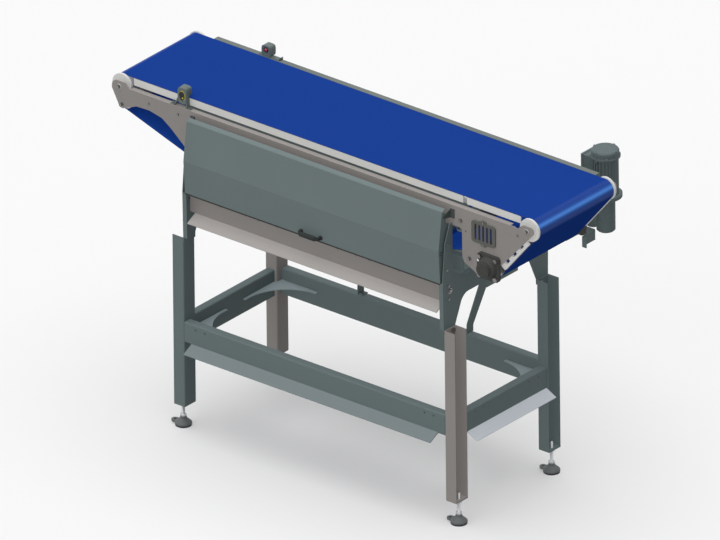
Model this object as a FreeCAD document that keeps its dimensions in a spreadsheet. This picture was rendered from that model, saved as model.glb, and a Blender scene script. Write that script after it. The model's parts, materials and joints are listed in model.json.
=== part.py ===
import FreeCAD, Part

import math
import os
from types import SimpleNamespace

from FreeCAD import Placement, Rotation, Vector

# Flow scale: a belt conveyor that rides on four load cells in a folded steel stand.
# X runs along the belt, Y to the cabinet side, Z up. The origin is on the floor at the middle of the feet.

os.makedirs("parts", exist_ok=True)
doc = FreeCAD.newDocument("FlowScale")

driving = {
    # belt and rollers: steps run inwards from the nose axes, drops run down from the belt's carrying face
    "belt_top": 1230, "belt_width": 400, "belt_thickness": 2, "run_gap": 0.3, "shaft_gap": 0.08,
    "end_x": 901, "end_radius": 36, "drive_step": 163, "drive_drop": 220, "drive_radius": 46,
    "lift_step": 11, "lift_drop": 103, "return_radius": 25, "return_left_step": 61,
    "return_right_step": 146, "return_drop": 228, "snub_step": 92, "snub_drop": 218, "snub_radius": 20,
    "shaft_radius": 12.5, "idler_shaft": 10, "disc_radius": 42, "disc_thickness": 10.5, "disc_gap": 4,
    # side plates, slider bed and comb
    "plate_margin": 25, "sheet": 3, "bend": 2, "plate_drop": 35, "plate_depth": 195, "nose_drop": 17,
    "nose_reach": 31, "nose_waist": 24, "plate_flange": 18, "notch_inner": 41, "notch_outer": 39,
    "notch_drop": 112, "bed_skirt": 27, "strip_thickness": 3.5, "strip_break_step": 138,
    "strip_break_width": 18, "cross_width": 40, "cross_drop": 70, "cross_depth": 60,
    "comb_start": 45, "comb_pitch": 48, "comb_finger": 22, "comb_spine": 9, "comb_reach": 27,
    "comb_inset": 1.5, "comb_thickness": 11,
    # stand
    "overhang": 325, "leg_depth": 48, "leg_half": 31, "leg_margin": 25, "leg_bottom": 88, "leg_drop": 175,
    "sole_plate": 6, "foot_step": 33, "spindle_radius": 6, "foot_radius": 30, "foot_height": 32,
    "sole_height": 5, "foot_travel": 25, "ear_reach": 50, "ear_edge": 13, "anchor_radius": 5,
    "channel_width": 34, "stretcher_top": 414, "web_drop": 75, "skirt_out": 44, "skirt_drop": 23,
    "skirt_setback": 31, "stretcher_margin": 30, "side_margin": 44, "rail_drop": 10, "rail_setback": 4,
    "gusset_drop": 43, "gusset_long": 170, "bridge_drop": 320, "bridge_depth": 72, "bridge_flange": 14,
    "ear_height": 220, "ear_gap": 4, "tab_drop": 193,
    # weighing
    "beam_setback": 60, "beam_height": 57, "beam_flange": 23, "cell_setback": 116, "cell_length": 130,
    "cell_width": 22, "cell_height": 30, "spacer": 3, "bracket_width": 40, "bracket_height": 112,
    # covers
    "cover_setback": 12, "cover_sheet": 2, "cover_rise": 27, "cover_break": 123, "cover_drop": 250,
    "cover_belly": 33, "cover_toe": 26, "cover_depth": 20, "hinge_margin": 33, "hinge_drop": 70,
    "hinge_pin": 4, "handle_middle": -5, "handle_length": 94, "handle_lift": 17, "handle_reach": 24,
    "handle_bar": 8, "handle_high": 11,
    # cabinet
    "cabinet_half": 243, "cabinet_reach": 74, "cabinet_depth": 151, "door_depth": 16,
    "cabinet_bottom": 550, "cabinet_height": 347, "cabinet_wall": 2, "door_gap": 1.5, "door_pin": 4,
    # drive
    "gear_margin": 111, "gear_width": 72, "gear_radius": 57, "worm_offset": 52, "worm_radius": 33,
    "motor_radius": 46, "motor_rise": 29, "motor_cap": 29, "motor_stand": 80,
    "bearing_square": 95, "bearing_bolts": 70, "bearing_reach": 43, "bearing_gap": 4,
    # fittings
    "grille_step": 25, "grille_drop": 103, "grille_wide": 105, "grille_high": 82,
    "slot_wide": 8.5, "slot_high": 61, "slot_pitch": 17,
    "eye_step": 269, "eye_rise": 38, "far_eye_step": 31,
}

# Places that follow from the sizes above, so that one change moves all that belongs together
derived = {
    "plate_face": "belt_width / 2 + plate_margin",
    "drive_x": "end_x - drive_step", "drive_height": "belt_top - drive_drop",
    "lift_x": "end_x - lift_step", "lift_height": "belt_top - lift_drop",
    "leg_web": "end_x - overhang",
    "return_left": "leg_web - return_left_step", "return_right": "leg_web - return_right_step",
    "return_height": "belt_top - return_drop",
    "snub_x": "drive_x - snub_step", "snub_height": "belt_top - snub_drop",
    "plate_top": "belt_top - plate_drop", "plate_bottom": "plate_top - plate_depth",
    "nose_top": "belt_top - nose_drop",
    "notch_left": "leg_web - notch_inner", "notch_right": "leg_web + notch_outer",
    "notch_top": "belt_top - notch_drop",
    "bed_half": "end_x - disc_radius - disc_gap", "strip_break": "drive_x - strip_break_step",
    "cross_top": "belt_top - cross_drop",
    "bridge_top": "belt_top - bridge_drop", "leg_top": "bridge_top - leg_drop",
    "foot_tab": "bridge_top - tab_drop", "ear_top": "bridge_top + ear_height",
    "ear_back": "plate_face + ear_gap",
    "leg_row": "plate_face + leg_margin", "foot_x": "leg_web + foot_step",
    "stretcher_face": "leg_row + stretcher_margin", "side_stretcher": "leg_web + side_margin",
    "gusset_height": "stretcher_top - gusset_drop",
    "rail_top": "bridge_top - rail_drop", "rail_face": "leg_row - rail_setback",
    "beam_row": "plate_face - beam_setback", "cell_end": "leg_web - cell_setback",
    "cover_half": "leg_web - cover_setback",
    "hinge_row": "plate_face + hinge_margin", "hinge_height": "belt_top - hinge_drop",
    "handle_height": "hinge_height - cover_drop + handle_lift",
    "cabinet_front": "stretcher_face + cabinet_reach",
    "gear_row": "plate_face + gear_margin",
    "motor_top": "belt_top + motor_rise", "motor_foot": "drive_height + motor_stand",
    "grille_x": "drive_x - grille_step", "grille_height": "belt_top - grille_drop",
    "eye_x": "eye_step - end_x", "far_eye_x": "eye_x + far_eye_step",
    "eye_guard_top": "belt_top + eye_rise",
}

sheet = doc.addObject("Spreadsheet::Sheet", "Sizes")
cells = {alias: str(value) for alias, value in driving.items()}
cells.update({alias: "=" + formula for alias, formula in derived.items()})
for line, (alias, text) in enumerate(cells.items(), 1):
    sheet.set("A%d" % line, alias)
    sheet.setAlias("B%d" % line, alias)
for line, text in enumerate(cells.values(), 1):
    sheet.set("B%d" % line, text)
doc.recompute()
size = SimpleNamespace(**{alias: float(getattr(sheet, alias)) for alias in cells})

nodes = {}
FRONT, REAR = -1, 1
LEFT, RIGHT = -1, 1


def keep(part, label):
    """Give a finished sub-part its own label and note it for export."""
    part.Label = label
    nodes[label] = part
    return part


def bind(part, prop, value):
    """Set a size: a text is an expression on the sheet, a number is set as it is."""
    if isinstance(value, str):
        part.setExpression(prop, value)
    else:
        setattr(part, prop, value)


# Outlines

def flat(points):
    return [Vector(a, b, 0) for a, b in points]


def rounded(points, radii):
    """Closed outline of straight runs, with an arc of its own radius at each corner."""
    corners = flat(points)
    if not isinstance(radii, (list, tuple)):
        radii = [radii] * len(corners)
    stations = []
    for i, corner in enumerate(corners):
        back = (corners[i - 1] - corner).normalize()
        ahead = (corners[(i + 1) % len(corners)] - corner).normalize()
        half = back.getAngle(ahead) / 2
        if radii[i] <= 0 or half > math.radians(89.5):
            stations.append((corner, None, corner))
            continue
        reach = radii[i] / math.tan(half)
        centre = corner + (back + ahead).normalize() * (radii[i] / math.sin(half))
        middle = centre + (corner - centre).normalize() * radii[i]
        stations.append((corner + back * reach, middle, corner + ahead * reach))
    edges = []
    for i, (entry, middle, leave) in enumerate(stations):
        if middle is not None:
            edges.append(Part.Arc(entry, middle, leave))
        following = stations[(i + 1) % len(stations)][0]
        if (following - leave).Length > 1e-6:
            edges.append(Part.LineSegment(leave, following))
    return edges


def circle(a, b, radius):
    return [Part.Circle(Vector(a, b, 0), Vector(0, 0, 1), radius)]


def rectangle(a_low, b_low, a_high, b_high, radius=0):
    points = [(a_low, b_low), (a_high, b_low), (a_high, b_high), (a_low, b_high)]
    return rounded(points, radius)


def folded(path, thickness, bend):
    """Outline of a folded sheet: the path, its offset (to the left, or to the right where the thickness
    is negative) and round bends, wider by the thickness on the outer side of each."""
    points = flat(path)
    offset, near_radii, far_radii = [], [], []
    for i, point in enumerate(points):
        steps = []
        if i > 0:
            steps.append((point - points[i - 1]).normalize())
        if i < len(points) - 1:
            steps.append((points[i + 1] - point).normalize())
        normals = [Vector(-step.y, step.x, 0) for step in steps]
        if len(normals) == 1:
            offset.append(point + normals[0] * thickness)
            near_radii.append(0)
            far_radii.append(0)
            continue
        shift = (normals[0] + normals[1]) * (thickness / (1 + normals[0].dot(normals[1])))
        offset.append(point + shift)
        turns_left = steps[0].x * steps[1].y - steps[0].y * steps[1].x > 0
        offset_inside = turns_left == (thickness > 0)
        near_radii.append(bend + abs(thickness) if offset_inside else bend)
        far_radii.append(bend if offset_inside else bend + abs(thickness))
    outline = points + offset[::-1]
    return rounded([(p.x, p.y) for p in outline], near_radii + far_radii[::-1])


# Solids

def new_body(name):
    return doc.addObject("PartDesign::Body", name)


def sketch_on(body, role, loops, start):
    """A sketch on one of the body's own planes, moved to its start along that plane's axis."""
    plane = [f for f in body.Origin.OriginFeatures if f.Role == role][0]
    sketch = body.newObject("Sketcher::SketchObject", body.Name + "Sketch")
    sketch.AttachmentSupport = (plane, [""])
    sketch.MapMode = "FlatFace"
    along = -start if role == "XZ_Plane" else start
    sketch.AttachmentOffset = Placement(Vector(0, 0, along), Rotation())
    for loop in loops:
        sketch.addGeometry(loop, False)
    return sketch


def pad(body, role, loops, start, length):
    """Pad towards +X, +Y or +Z from the start. The sketch's axes are YZ, XZ or XY."""
    feature = body.newObject("PartDesign::Pad", body.Name + "Pad")
    feature.Profile = sketch_on(body, role, loops, start)
    feature.Reversed = role == "XZ_Plane"
    bind(feature, "Length", length)
    return body


def padded(label, role, loops, start, length):
    return keep(pad(new_body(label), role, loops, start, length), label)


def turned(name, profile, at, axis):
    """Revolve a closed outline of (radius, height) about an axis through a point."""
    body = new_body(name)
    feature = body.newObject("PartDesign::Revolution", name + "Turn")
    profile_sketch = sketch_on(body, "XZ_Plane", [profile], 0)
    feature.Profile = profile_sketch
    feature.ReferenceAxis = (profile_sketch, ["V_Axis"])
    feature.Angle = 360
    body.Placement = Placement(Vector(*at), Rotation(Vector(0, 0, 1), Vector(*axis)))
    return body


def block(name, low, extent):
    """Box from its low corner; each of the three extents is a number or an expression."""
    part = doc.addObject("Part::Box", name)
    for prop, value in zip(("Length", "Width", "Height"), extent):
        bind(part, prop, value)
    part.Placement.Base = Vector(*low)
    return part


def rod(name, radius, height, at, axis=(0, 0, 1)):
    part = doc.addObject("Part::Cylinder", name)
    bind(part, "Radius", radius)
    bind(part, "Height", height)
    part.Placement = Placement(Vector(*at), Rotation(Vector(0, 0, 1), Vector(*axis)))
    return part


def hexagon(name, radius, height, at, axis=(0, 0, 1)):
    part = doc.addObject("Part::Prism", name)
    part.Polygon = 6
    bind(part, "Circumradius", radius)
    bind(part, "Height", height)
    part.Placement = Placement(Vector(*at), Rotation(Vector(0, 0, 1), Vector(*axis)))
    return part


def fused(label, shapes):
    part = doc.addObject("Part::MultiFuse", label)
    part.Shapes = shapes
    return part


def cut(label, base, tool):
    part = doc.addObject("Part::Cut", label)
    part.Base = base
    part.Tool = tool
    return part


def grouped(label, solids):
    """Identical or paired pieces kept as separate solids of one node."""
    part = doc.addObject("Part::Compound", label)
    part.Links = solids
    return keep(part, label)


def interval(side, near, far):
    """Low end and length of the stretch from near to far on one side of a middle plane."""
    low = min(side * near, side * far)
    return low, abs(far - near)


# Belt path: circles in order, clockwise seen from the front, with the side that the belt passes them on

end_height = size.belt_top - size.belt_thickness - size.run_gap - size.end_radius
INSIDE, OUTSIDE = 1, -1
pulleys = [
    (-size.end_x, end_height, size.end_radius, INSIDE),
    (size.end_x, end_height, size.end_radius, INSIDE),
    (size.drive_x, size.drive_height, size.drive_radius, INSIDE),
    (size.snub_x, size.snub_height, size.snub_radius, OUTSIDE),
    (size.return_right, size.return_height, size.return_radius, INSIDE),
    (-size.return_left, size.return_height, size.return_radius, INSIDE),
    (-size.lift_x, size.lift_height, size.return_radius, INSIDE),
]


def belt_face(outer):
    """One face of the belt: tangents between neighbouring pulleys, arcs round them."""
    centres = [Vector(x, z, 0) for x, z, r, side in pulleys]
    near, far = size.run_gap, size.run_gap + size.belt_thickness
    radii = []
    for x, z, r, side in pulleys:
        touching = outer == (side == OUTSIDE)
        radii.append(side * (r + (near if touching else far)))
    touches = []
    for i, centre in enumerate(centres):
        following = (i + 1) % len(centres)
        step = centres[following] - centre
        lean = (radii[i] - radii[following]) / step.Length
        step.normalize()
        outward = step * lean + Vector(-step.y, step.x, 0) * math.sqrt(1 - lean * lean)
        touches.append(outward)
    edges = []
    for i, centre in enumerate(centres):
        arriving, leaving = touches[i - 1], touches[i]
        middle = (arriving + leaving).normalize()
        edges.append(Part.Arc(centre + arriving * radii[i], centre + middle * radii[i],
                              centre + leaving * radii[i]))
        following = (i + 1) % len(centres)
        edges.append(Part.LineSegment(centre + leaving * radii[i],
                                      centres[following] + leaving * radii[following]))
    return edges


padded("belt", "XZ_Plane", [belt_face(True), belt_face(False)], -size.belt_width / 2, "Sizes.belt_width")


# Rollers: shell, side discs and shaft turned in one piece, journals running in the side plates

plate_inner = size.plate_face - size.sheet


def roller(label, x, z, radius, shaft, reach_front, reach_rear, disc=0):
    half = size.belt_width / 2 - 1
    collar = half + (size.disc_thickness if disc else 0)
    wide = disc if disc else radius
    outline = [(0, -reach_front), (shaft, -reach_front), (shaft, -collar), (wide, -collar)]
    if disc:
        outline += [(wide, -half - 2), (radius, -half - 2), (radius, half + 2), (wide, half + 2)]
    outline += [(wide, collar), (shaft, collar), (shaft, reach_rear), (0, reach_rear)]
    return keep(turned(label, rounded(outline, 0), (x, 0, z), (0, 1, 0)), label)


journal = size.plate_face + 2
roller("end_roller_left", -size.end_x, end_height, size.end_radius, size.idler_shaft, journal, journal,
       size.disc_radius)
roller("end_roller_right", size.end_x, end_height, size.end_radius, size.idler_shaft, journal, journal,
       size.disc_radius)
roller("lift_roller", -size.lift_x, size.lift_height, size.return_radius, size.idler_shaft, journal, journal)
roller("return_roller_left", -size.return_left, size.return_height, size.return_radius,
       size.idler_shaft, journal, journal)
roller("return_roller_right", size.return_right, size.return_height, size.return_radius,
       size.idler_shaft, journal, journal)
roller("drive_snub_roller", size.snub_x, size.snub_height, size.snub_radius, size.idler_shaft,
       journal, journal)
shaft_front = size.plate_face + size.bearing_reach - size.bearing_gap
shaft_rear = size.gear_row + size.gear_width / 2 + 3
roller("drive_roller", size.drive_x, size.drive_height, size.drive_radius, size.shaft_radius,
       shaft_front, shaft_rear)

journals = [
    (-size.end_x, end_height, size.idler_shaft), (size.end_x, end_height, size.idler_shaft),
    (-size.lift_x, size.lift_height, size.idler_shaft),
    (-size.return_left, size.return_height, size.idler_shaft),
    (size.return_right, size.return_height, size.idler_shaft),
    (size.snub_x, size.snub_height, size.idler_shaft),
    (size.drive_x, size.drive_height, size.shaft_radius),
]


# Side plates: swan-necked outline with round noses, inward top flange and an arch over the bridge

def diagonal(distance):
    """Line beside the axes of the drive end, at a distance below them: a point on it and its direction."""
    drive = Vector(size.drive_x, size.drive_height, 0)
    along = (Vector(size.end_x, end_height, 0) - drive).normalize()
    outward = Vector(along.y, -along.x, 0)
    return drive + outward * distance, along


def side_plate(label, side):
    nose_x = size.end_x + size.nose_reach
    drive_low = size.drive_height - 53
    start, along = diagonal(size.nose_waist)
    nose_low = start.y + (nose_x - start.x) * along.y / along.x
    heel_x = start.x + (drive_low - start.y) * along.x / along.y
    outline = [
        (-nose_x, size.nose_top, 23), (-nose_x + 60, size.nose_top, 3), (-nose_x + 76, size.plate_top, 3),
        (nose_x - 84, size.plate_top, 4), (nose_x - 74, size.plate_top - 4, 5), (nose_x - 46, size.nose_top, 12),
        (nose_x, size.nose_top, 14), (nose_x, nose_low, 20), (heel_x, drive_low, 30),
        (size.drive_x - 48, drive_low, 20), (size.notch_right + 40, size.snub_height - 35, 10),
        (size.notch_right + 8, size.snub_height - 20, 8), (size.notch_right, size.snub_height, 8),
        (size.notch_right, size.notch_top, 12),
        (size.notch_left, size.notch_top, 12), (size.notch_left, size.plate_bottom - 25, 12),
        (-size.return_left - 40, size.plate_bottom - 25, 30),
        (-size.return_left - 98, size.plate_bottom + 52, 10),
        (-size.return_left - 157, size.plate_bottom + 102, 30),
        (-size.return_left - 196, size.plate_bottom + 129, 30),
        (-size.lift_x + 123, size.lift_height + 14, 40), (-size.lift_x + 66, size.lift_height + 12, 20),
        (-size.lift_x + 5, size.lift_height - 14, 8), (-size.lift_x - 8, size.lift_height - 12, 5),
        (-nose_x, size.nose_top - 33, 10),
    ]
    loops = [rounded([(x, z) for x, z, r in outline], [r for x, z, r in outline])]
    loops += [circle(x, z, r + size.shaft_gap) for x, z, r in journals]
    window_half = 2.5 * size.slot_pitch + 2
    if side == FRONT:
        loops.append(rectangle(size.grille_x - window_half, size.grille_height - size.slot_high / 2 - 2,
                               size.grille_x + window_half, size.grille_height + size.slot_high / 2 + 2, 6))
    loops.append(circle(size.notch_right + 16, size.notch_top - 6, 3.5))
    body = new_body(label)
    low, _ = interval(side, plate_inner, size.plate_face)
    pad(body, "XZ_Plane", loops, low, "Sizes.sheet")
    low, _ = interval(side, plate_inner + 0.5 - size.plate_flange, plate_inner + 0.5)
    flange = rectangle(-nose_x + 80, size.plate_top - size.sheet, nose_x - 104, size.plate_top)
    pad(body, "XZ_Plane", [flange], low, "Sizes.plate_flange")
    return keep(body, label)


side_plate("side_plate_front", FRONT)
side_plate("side_plate_rear", REAR)

# Cross members: square tubes between the side plates, under the slider bed

tubes = []
cross_places = (-size.bed_half + 215, -210, 210, size.strip_break + size.strip_break_width / 2)
for number, x in enumerate(cross_places):
    tube = new_body("CrossTube%d" % number)
    low, high = size.cross_top - size.cross_depth, size.cross_top
    half = size.cross_width / 2
    loops = [rectangle(x - half, low, x + half, high, 4),
             rectangle(x - half + 3, low + 3, x + half - 3, high - 3, 1)]
    tubes.append(pad(tube, "XZ_Plane", loops, -plate_inner + size.run_gap, 2 * (plate_inner - size.run_gap)))
grouped("cross_members", tubes)

# Slider bed: folded tray under the carrying run, on two long beams

bed_top = size.belt_top - size.belt_thickness - size.run_gap
bed_edge = size.belt_width / 2 - size.strip_thickness - size.run_gap
bed_low = bed_top - size.bed_skirt
bed_path = [(bed_edge, bed_low), (bed_edge, bed_top), (-bed_edge, bed_top), (-bed_edge, bed_low)]
padded("slider_bed", "YZ_Plane", [folded(bed_path, size.sheet, size.bend)], -size.bed_half, "2 * Sizes.bed_half")

beams = []
beam_end = size.strip_break + size.strip_break_width
for side in (FRONT, REAR):
    beam = new_body("BedBeam%d" % (side + 1))
    outer = side * (bed_edge - 8)
    top = bed_top - size.sheet - size.run_gap
    path = [(outer - side * 25, size.cross_top), (outer, size.cross_top), (outer, top), (outer - side * 25, top)]
    if side == REAR:
        loops = [folded(path, size.sheet, size.bend)]
    else:
        loops = [folded(path[::-1], size.sheet, size.bend)]
    beams.append(pad(beam, "YZ_Plane", loops, -beam_end, 2 * beam_end))
grouped("bed_beams", beams)

strips = []
for side in (FRONT, REAR):
    low, _ = interval(side, bed_edge, bed_edge + size.strip_thickness)
    stretches = ((-size.bed_half, size.strip_break), (beam_end, size.bed_half))
    for number, (start, end) in enumerate(stretches):
        name = "SlideStrip%d%d" % (side + 1, number)
        strips.append(block(name, (start, low, bed_low), (end - start, "Sizes.strip_thickness",
                                                          "Sizes.bed_skirt - Sizes.run_gap")))
grouped("slide_strips", strips)


# Comb guards: plastic spine with four fingers, in the gap between the plate's diagonal and the belt

def comb(name, side):
    wrap = size.run_gap + size.belt_thickness - size.comb_inset
    foot, _ = diagonal(size.drive_radius + wrap)
    _, along = diagonal(0)
    head = Vector(size.end_x, end_height, 0) + Vector(along.y, -along.x, 0) * (size.end_radius + wrap)
    run = (head - foot).normalize()
    inward = Vector(-run.y, run.x, 0)
    profile = [(0, 0), (3 * size.comb_pitch + size.comb_finger, 0)]
    for number in (3, 2, 1, 0):
        left = number * size.comb_pitch
        right = left + size.comb_finger
        profile += [(right, size.comb_spine + size.comb_reach), (left, size.comb_spine + size.comb_reach)]
        if number:
            profile += [(left, size.comb_spine), (right - size.comb_pitch, size.comb_spine)]
    points = [foot + run * (size.comb_start + a) + inward * b for a, b in profile]
    body = new_body(name)
    low, length = interval(side, plate_inner - size.comb_thickness, plate_inner - size.run_gap)
    return pad(body, "XZ_Plane", [rounded([(p.x, p.y) for p in points], 2)], low, length)


grouped("comb_guards", [comb("CombFront", FRONT), comb("CombRear", REAR)])

# Ventilation grille: rounded frame with a row of slots and two screw tabs

slots = []
for number in range(5):
    x = size.grille_x + (number - 2) * size.slot_pitch
    slots.append(rectangle(x - size.slot_wide / 2, size.grille_height - size.slot_high / 2,
                           x + size.slot_wide / 2, size.grille_height + size.slot_high / 2, 3))
half_wide, half_high, tab = size.grille_wide / 2, size.grille_high / 2, 12
top, low = size.grille_height + half_high, size.grille_height - half_high
frame_points = [
    (size.grille_x - half_wide, low, 12), (size.grille_x - tab, low, 3), (size.grille_x - tab, low - 8, 6),
    (size.grille_x + tab, low - 8, 6), (size.grille_x + tab, low, 3), (size.grille_x + half_wide, low, 12),
    (size.grille_x + half_wide, top, 12), (size.grille_x + tab, top, 3), (size.grille_x + tab, top + 8, 6),
    (size.grille_x - tab, top + 8, 6), (size.grille_x - tab, top, 3), (size.grille_x - half_wide, top, 12),
]
grille_outline = rounded([(x, z) for x, z, r in frame_points], [r for x, z, r in frame_points])
padded("vent_grille", "XZ_Plane", [grille_outline] + slots, -size.plate_face - 5 - size.run_gap, 5)


# Flange bearings at the drive axis: square flange, domed housing and round cap

def flange_bearing(name, side, blind):
    half = size.bearing_square / 2
    bore = size.shaft_radius + size.shaft_gap
    flange = new_body(name + "Flange")
    low, _ = interval(side, size.plate_face + size.run_gap, size.plate_face + 13)
    loops = [rectangle(size.drive_x - half, size.drive_height - half, size.drive_x + half,
                       size.drive_height + half, 14), circle(size.drive_x, size.drive_height, bore)]
    pad(flange, "XZ_Plane", loops, low, 13 - size.run_gap)
    reach = size.bearing_reach
    inner = 0 if blind else bore
    floor = reach - size.bearing_gap + 1
    dome = [(bore, 12), (41, 12), (36, 24), (29, reach - 12), (27, reach - 12), (27, reach), (inner, reach)]
    if blind:
        dome += [(0, floor), (bore, floor)]
    housing = turned(name + "Housing", rounded(dome, 0), (size.drive_x, side * size.plate_face,
                     size.drive_height), (0, side, 0))
    return fused(name, [flange, housing])


grouped("drive_bearings", [flange_bearing("BearingFront", FRONT, True), flange_bearing("BearingRear", REAR, False)])

# Worm gearbox on the drive shaft, flanged motor standing on it

gear_low = size.gear_row - size.gear_width / 2
gear_bore = size.shaft_radius + size.shaft_gap
boss, step = 45, 5
wheel_profile = [
    (gear_bore, 0), (boss, 0), (boss, step), (size.gear_radius - step, step), (size.gear_radius, 2 * step),
    (size.gear_radius, size.gear_width - 2 * step), (size.gear_radius - step, size.gear_width - step),
    (boss, size.gear_width - step), (boss, size.gear_width), (gear_bore, size.gear_width),
]
wheel_case = turned("WheelCase", rounded(wheel_profile, 0), (size.drive_x, gear_low, size.drive_height), (0, 1, 0))
worm_x = size.drive_x + size.worm_offset
worm_low = size.drive_height - size.worm_radius - 29
flange_radius, flange_high = size.motor_radius + 12, 12
flange_low = size.motor_foot - flange_high - worm_low
worm_profile = [
    (0, 0), (size.worm_radius - 4, 0), (size.worm_radius, 4), (size.worm_radius, flange_low - 6),
    (size.worm_radius + 6, flange_low), (flange_radius, flange_low), (flange_radius, flange_low + flange_high),
    (0, flange_low + flange_high),
]
worm_case = turned("WormCase", rounded(worm_profile, 0), (worm_x, size.gear_row, worm_low), (0, 0, 1))
shaft_way = rod("ShaftWay", "Sizes.shaft_radius + Sizes.shaft_gap", "Sizes.gear_width + 20",
                (size.drive_x, gear_low - 10, size.drive_height), (0, 1, 0))
keep(cut("gearbox", fused("GearCases", [wheel_case, worm_case]), shaft_way), "gearbox")

cap_foot = size.motor_top - size.motor_cap
motor_body = new_body("motor")
fins = 24
rim = []
for number in range(fins):
    centre = 2 * math.pi * number / fins
    quarter = math.pi / fins / 2
    for turn, radius in ((-quarter, size.motor_radius), (quarter, size.motor_radius),
                         (quarter * 1.2, size.motor_radius - 5), (quarter * 2.8, size.motor_radius - 5)):
        rim.append((worm_x + radius * math.cos(centre + turn), size.gear_row + radius * math.sin(centre + turn)))
pad(motor_body, "XY_Plane", [rounded(rim, 0)], size.motor_foot, cap_foot - size.motor_foot)
keep(motor_body, "motor")
lug_ring = size.motor_radius + 7
cowl = size.motor_radius + 2.6
cap_profile = [(0, 0), (lug_ring, 0), (lug_ring, 6), (cowl, 6), (cowl, size.motor_cap - 6),
               (cowl - 2.6, size.motor_cap - 2), (cowl - 8, size.motor_cap), (0, size.motor_cap)]
keep(turned("MotorCapShell", rounded(cap_profile, 0), (worm_x, size.gear_row, cap_foot), (0, 0, 1)), "motor_cap")
box_high, box_wide, box_deep = 60, 60, 28
box_low = (worm_x - size.motor_radius - box_deep, size.gear_row - box_wide / 2, cap_foot - box_high - 6)
terminal_base = block("TerminalBase", box_low, (box_deep + size.motor_radius / 3, box_wide, box_high))
saddle = rod("TerminalSaddle", "Sizes.motor_radius + Sizes.run_gap", box_high + 10,
             (worm_x, size.gear_row, box_low[2] - 5))
terminal_lid = block("TerminalLid", (box_low[0] - 8, box_low[1] - 2, box_low[2] - 2),
                     (8.5, box_wide + 4, box_high + 4))
keep(fused("terminal_box", [cut("TerminalSeat", terminal_base, saddle), terminal_lid]), "terminal_box")

# Torque bracket: folded hat that ties the gearbox foot to the rear plate

hat = [(size.drive_x - 55, size.plate_face + size.run_gap), (size.drive_x - 34, size.plate_face + size.run_gap),
       (size.drive_x - 34, gear_low - 3.5), (size.drive_x + 34, gear_low - 3.5),
       (size.drive_x + 34, size.plate_face + size.run_gap), (size.drive_x + 55, size.plate_face + size.run_gap)]
torque = new_body("torque_bracket")
pad(torque, "XY_Plane", [folded(hat, size.sheet, size.bend)], size.drive_height - 52 - 38, 38)
keep(torque, "torque_bracket")


# Stand: four channel legs that open outwards, each with a welded sole plate

def leg(label, end, side):
    web, tip = size.leg_web, size.leg_web + size.leg_depth
    low, high = size.leg_row - size.leg_half, size.leg_row + size.leg_half
    path = [(end * tip, side * low), (end * web, side * low), (end * web, side * high), (end * tip, side * high)]
    if end * side > 0:
        path = path[::-1]
    channel = new_body(label + "Channel")
    pad(channel, "XY_Plane", [folded(path, size.sheet, size.bend)], size.leg_bottom,
        "Sizes.leg_top - Sizes.leg_bottom")
    sole = new_body(label + "Sole")
    x_low, x_long = interval(end, web + size.sheet, tip)
    y_low, y_long = interval(side, low + size.sheet, high - size.sheet)
    loops = [rectangle(x_low, y_low, x_low + x_long, y_low + y_long),
             circle(end * size.foot_x, side * size.leg_row, size.spindle_radius + size.shaft_gap)]
    pad(sole, "XY_Plane", loops, size.leg_bottom, "Sizes.sole_plate")
    return keep(fused(label, [channel, sole]), label)


corners = {"front_left": (LEFT, FRONT), "front_right": (RIGHT, FRONT),
           "rear_left": (LEFT, REAR), "rear_right": (RIGHT, REAR)}
for place, (end, side) in corners.items():
    leg("leg_" + place, end, side)


# Levelling feet: domed pad with a bolt-down ear on a rubber sole, spindle and nut

def levelling_foot(label, end, side):
    x, y = end * size.foot_x, side * size.leg_row
    neck = 2 * size.spindle_radius
    profile = [(0, size.sole_height), (size.foot_radius, size.sole_height),
               (size.foot_radius, size.sole_height + 5), (size.foot_radius - 3, size.sole_height + 9),
               (neck + 4, size.foot_height - 8), (neck, size.foot_height - 5), (neck, size.foot_height),
               (0, size.foot_height)]
    dome = turned(label + "Dome", rounded(profile, 0), (x, y, 0), (0, 0, 1))
    ear = new_body(label + "Ear")
    tip = x - size.ear_reach
    loops = [rounded([(x, y - 20), (x, y + 20), (tip, y + 14), (tip, y - 14)], [2, 2, 10, 10]),
             circle(tip + size.ear_edge, y, size.anchor_radius)]
    pad(ear, "XY_Plane", loops, size.sole_height, 7)
    sole = rod(label + "Sole", "Sizes.foot_radius - 1", "Sizes.sole_height", (x, y, 0))
    rise = size.leg_bottom + size.sole_plate + size.foot_travel
    spindle = rod(label + "Spindle", "Sizes.spindle_radius", rise - size.foot_height, (x, y, size.foot_height))
    nut = hexagon(label + "Nut", 11, 9, (x, y, size.foot_height + 3))
    return keep(fused(label, [dome, ear, sole, spindle, nut]), label)


for place, (end, side) in corners.items():
    levelling_foot("foot_" + place, end, side)


# Stretchers and rails share one section: an inverted channel whose outer web flares into a skirt

def skirt_section(face, fold, side):
    """Outline across the flared skirt below the fold."""
    out, drop, sheet_wide = size.skirt_out, size.skirt_drop, size.sheet
    length = math.hypot(out, drop)
    across = (drop / length * sheet_wide, out / length * sheet_wide)
    points = [(side * (face - sheet_wide), fold + 1), (side * face, fold + 1), (side * face, fold),
              (side * (face + out), fold - drop), (side * (face + out - across[0]), fold - drop - across[1]),
              (side * (face - sheet_wide), fold - across[1])]
    return rounded(points, 0)


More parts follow.
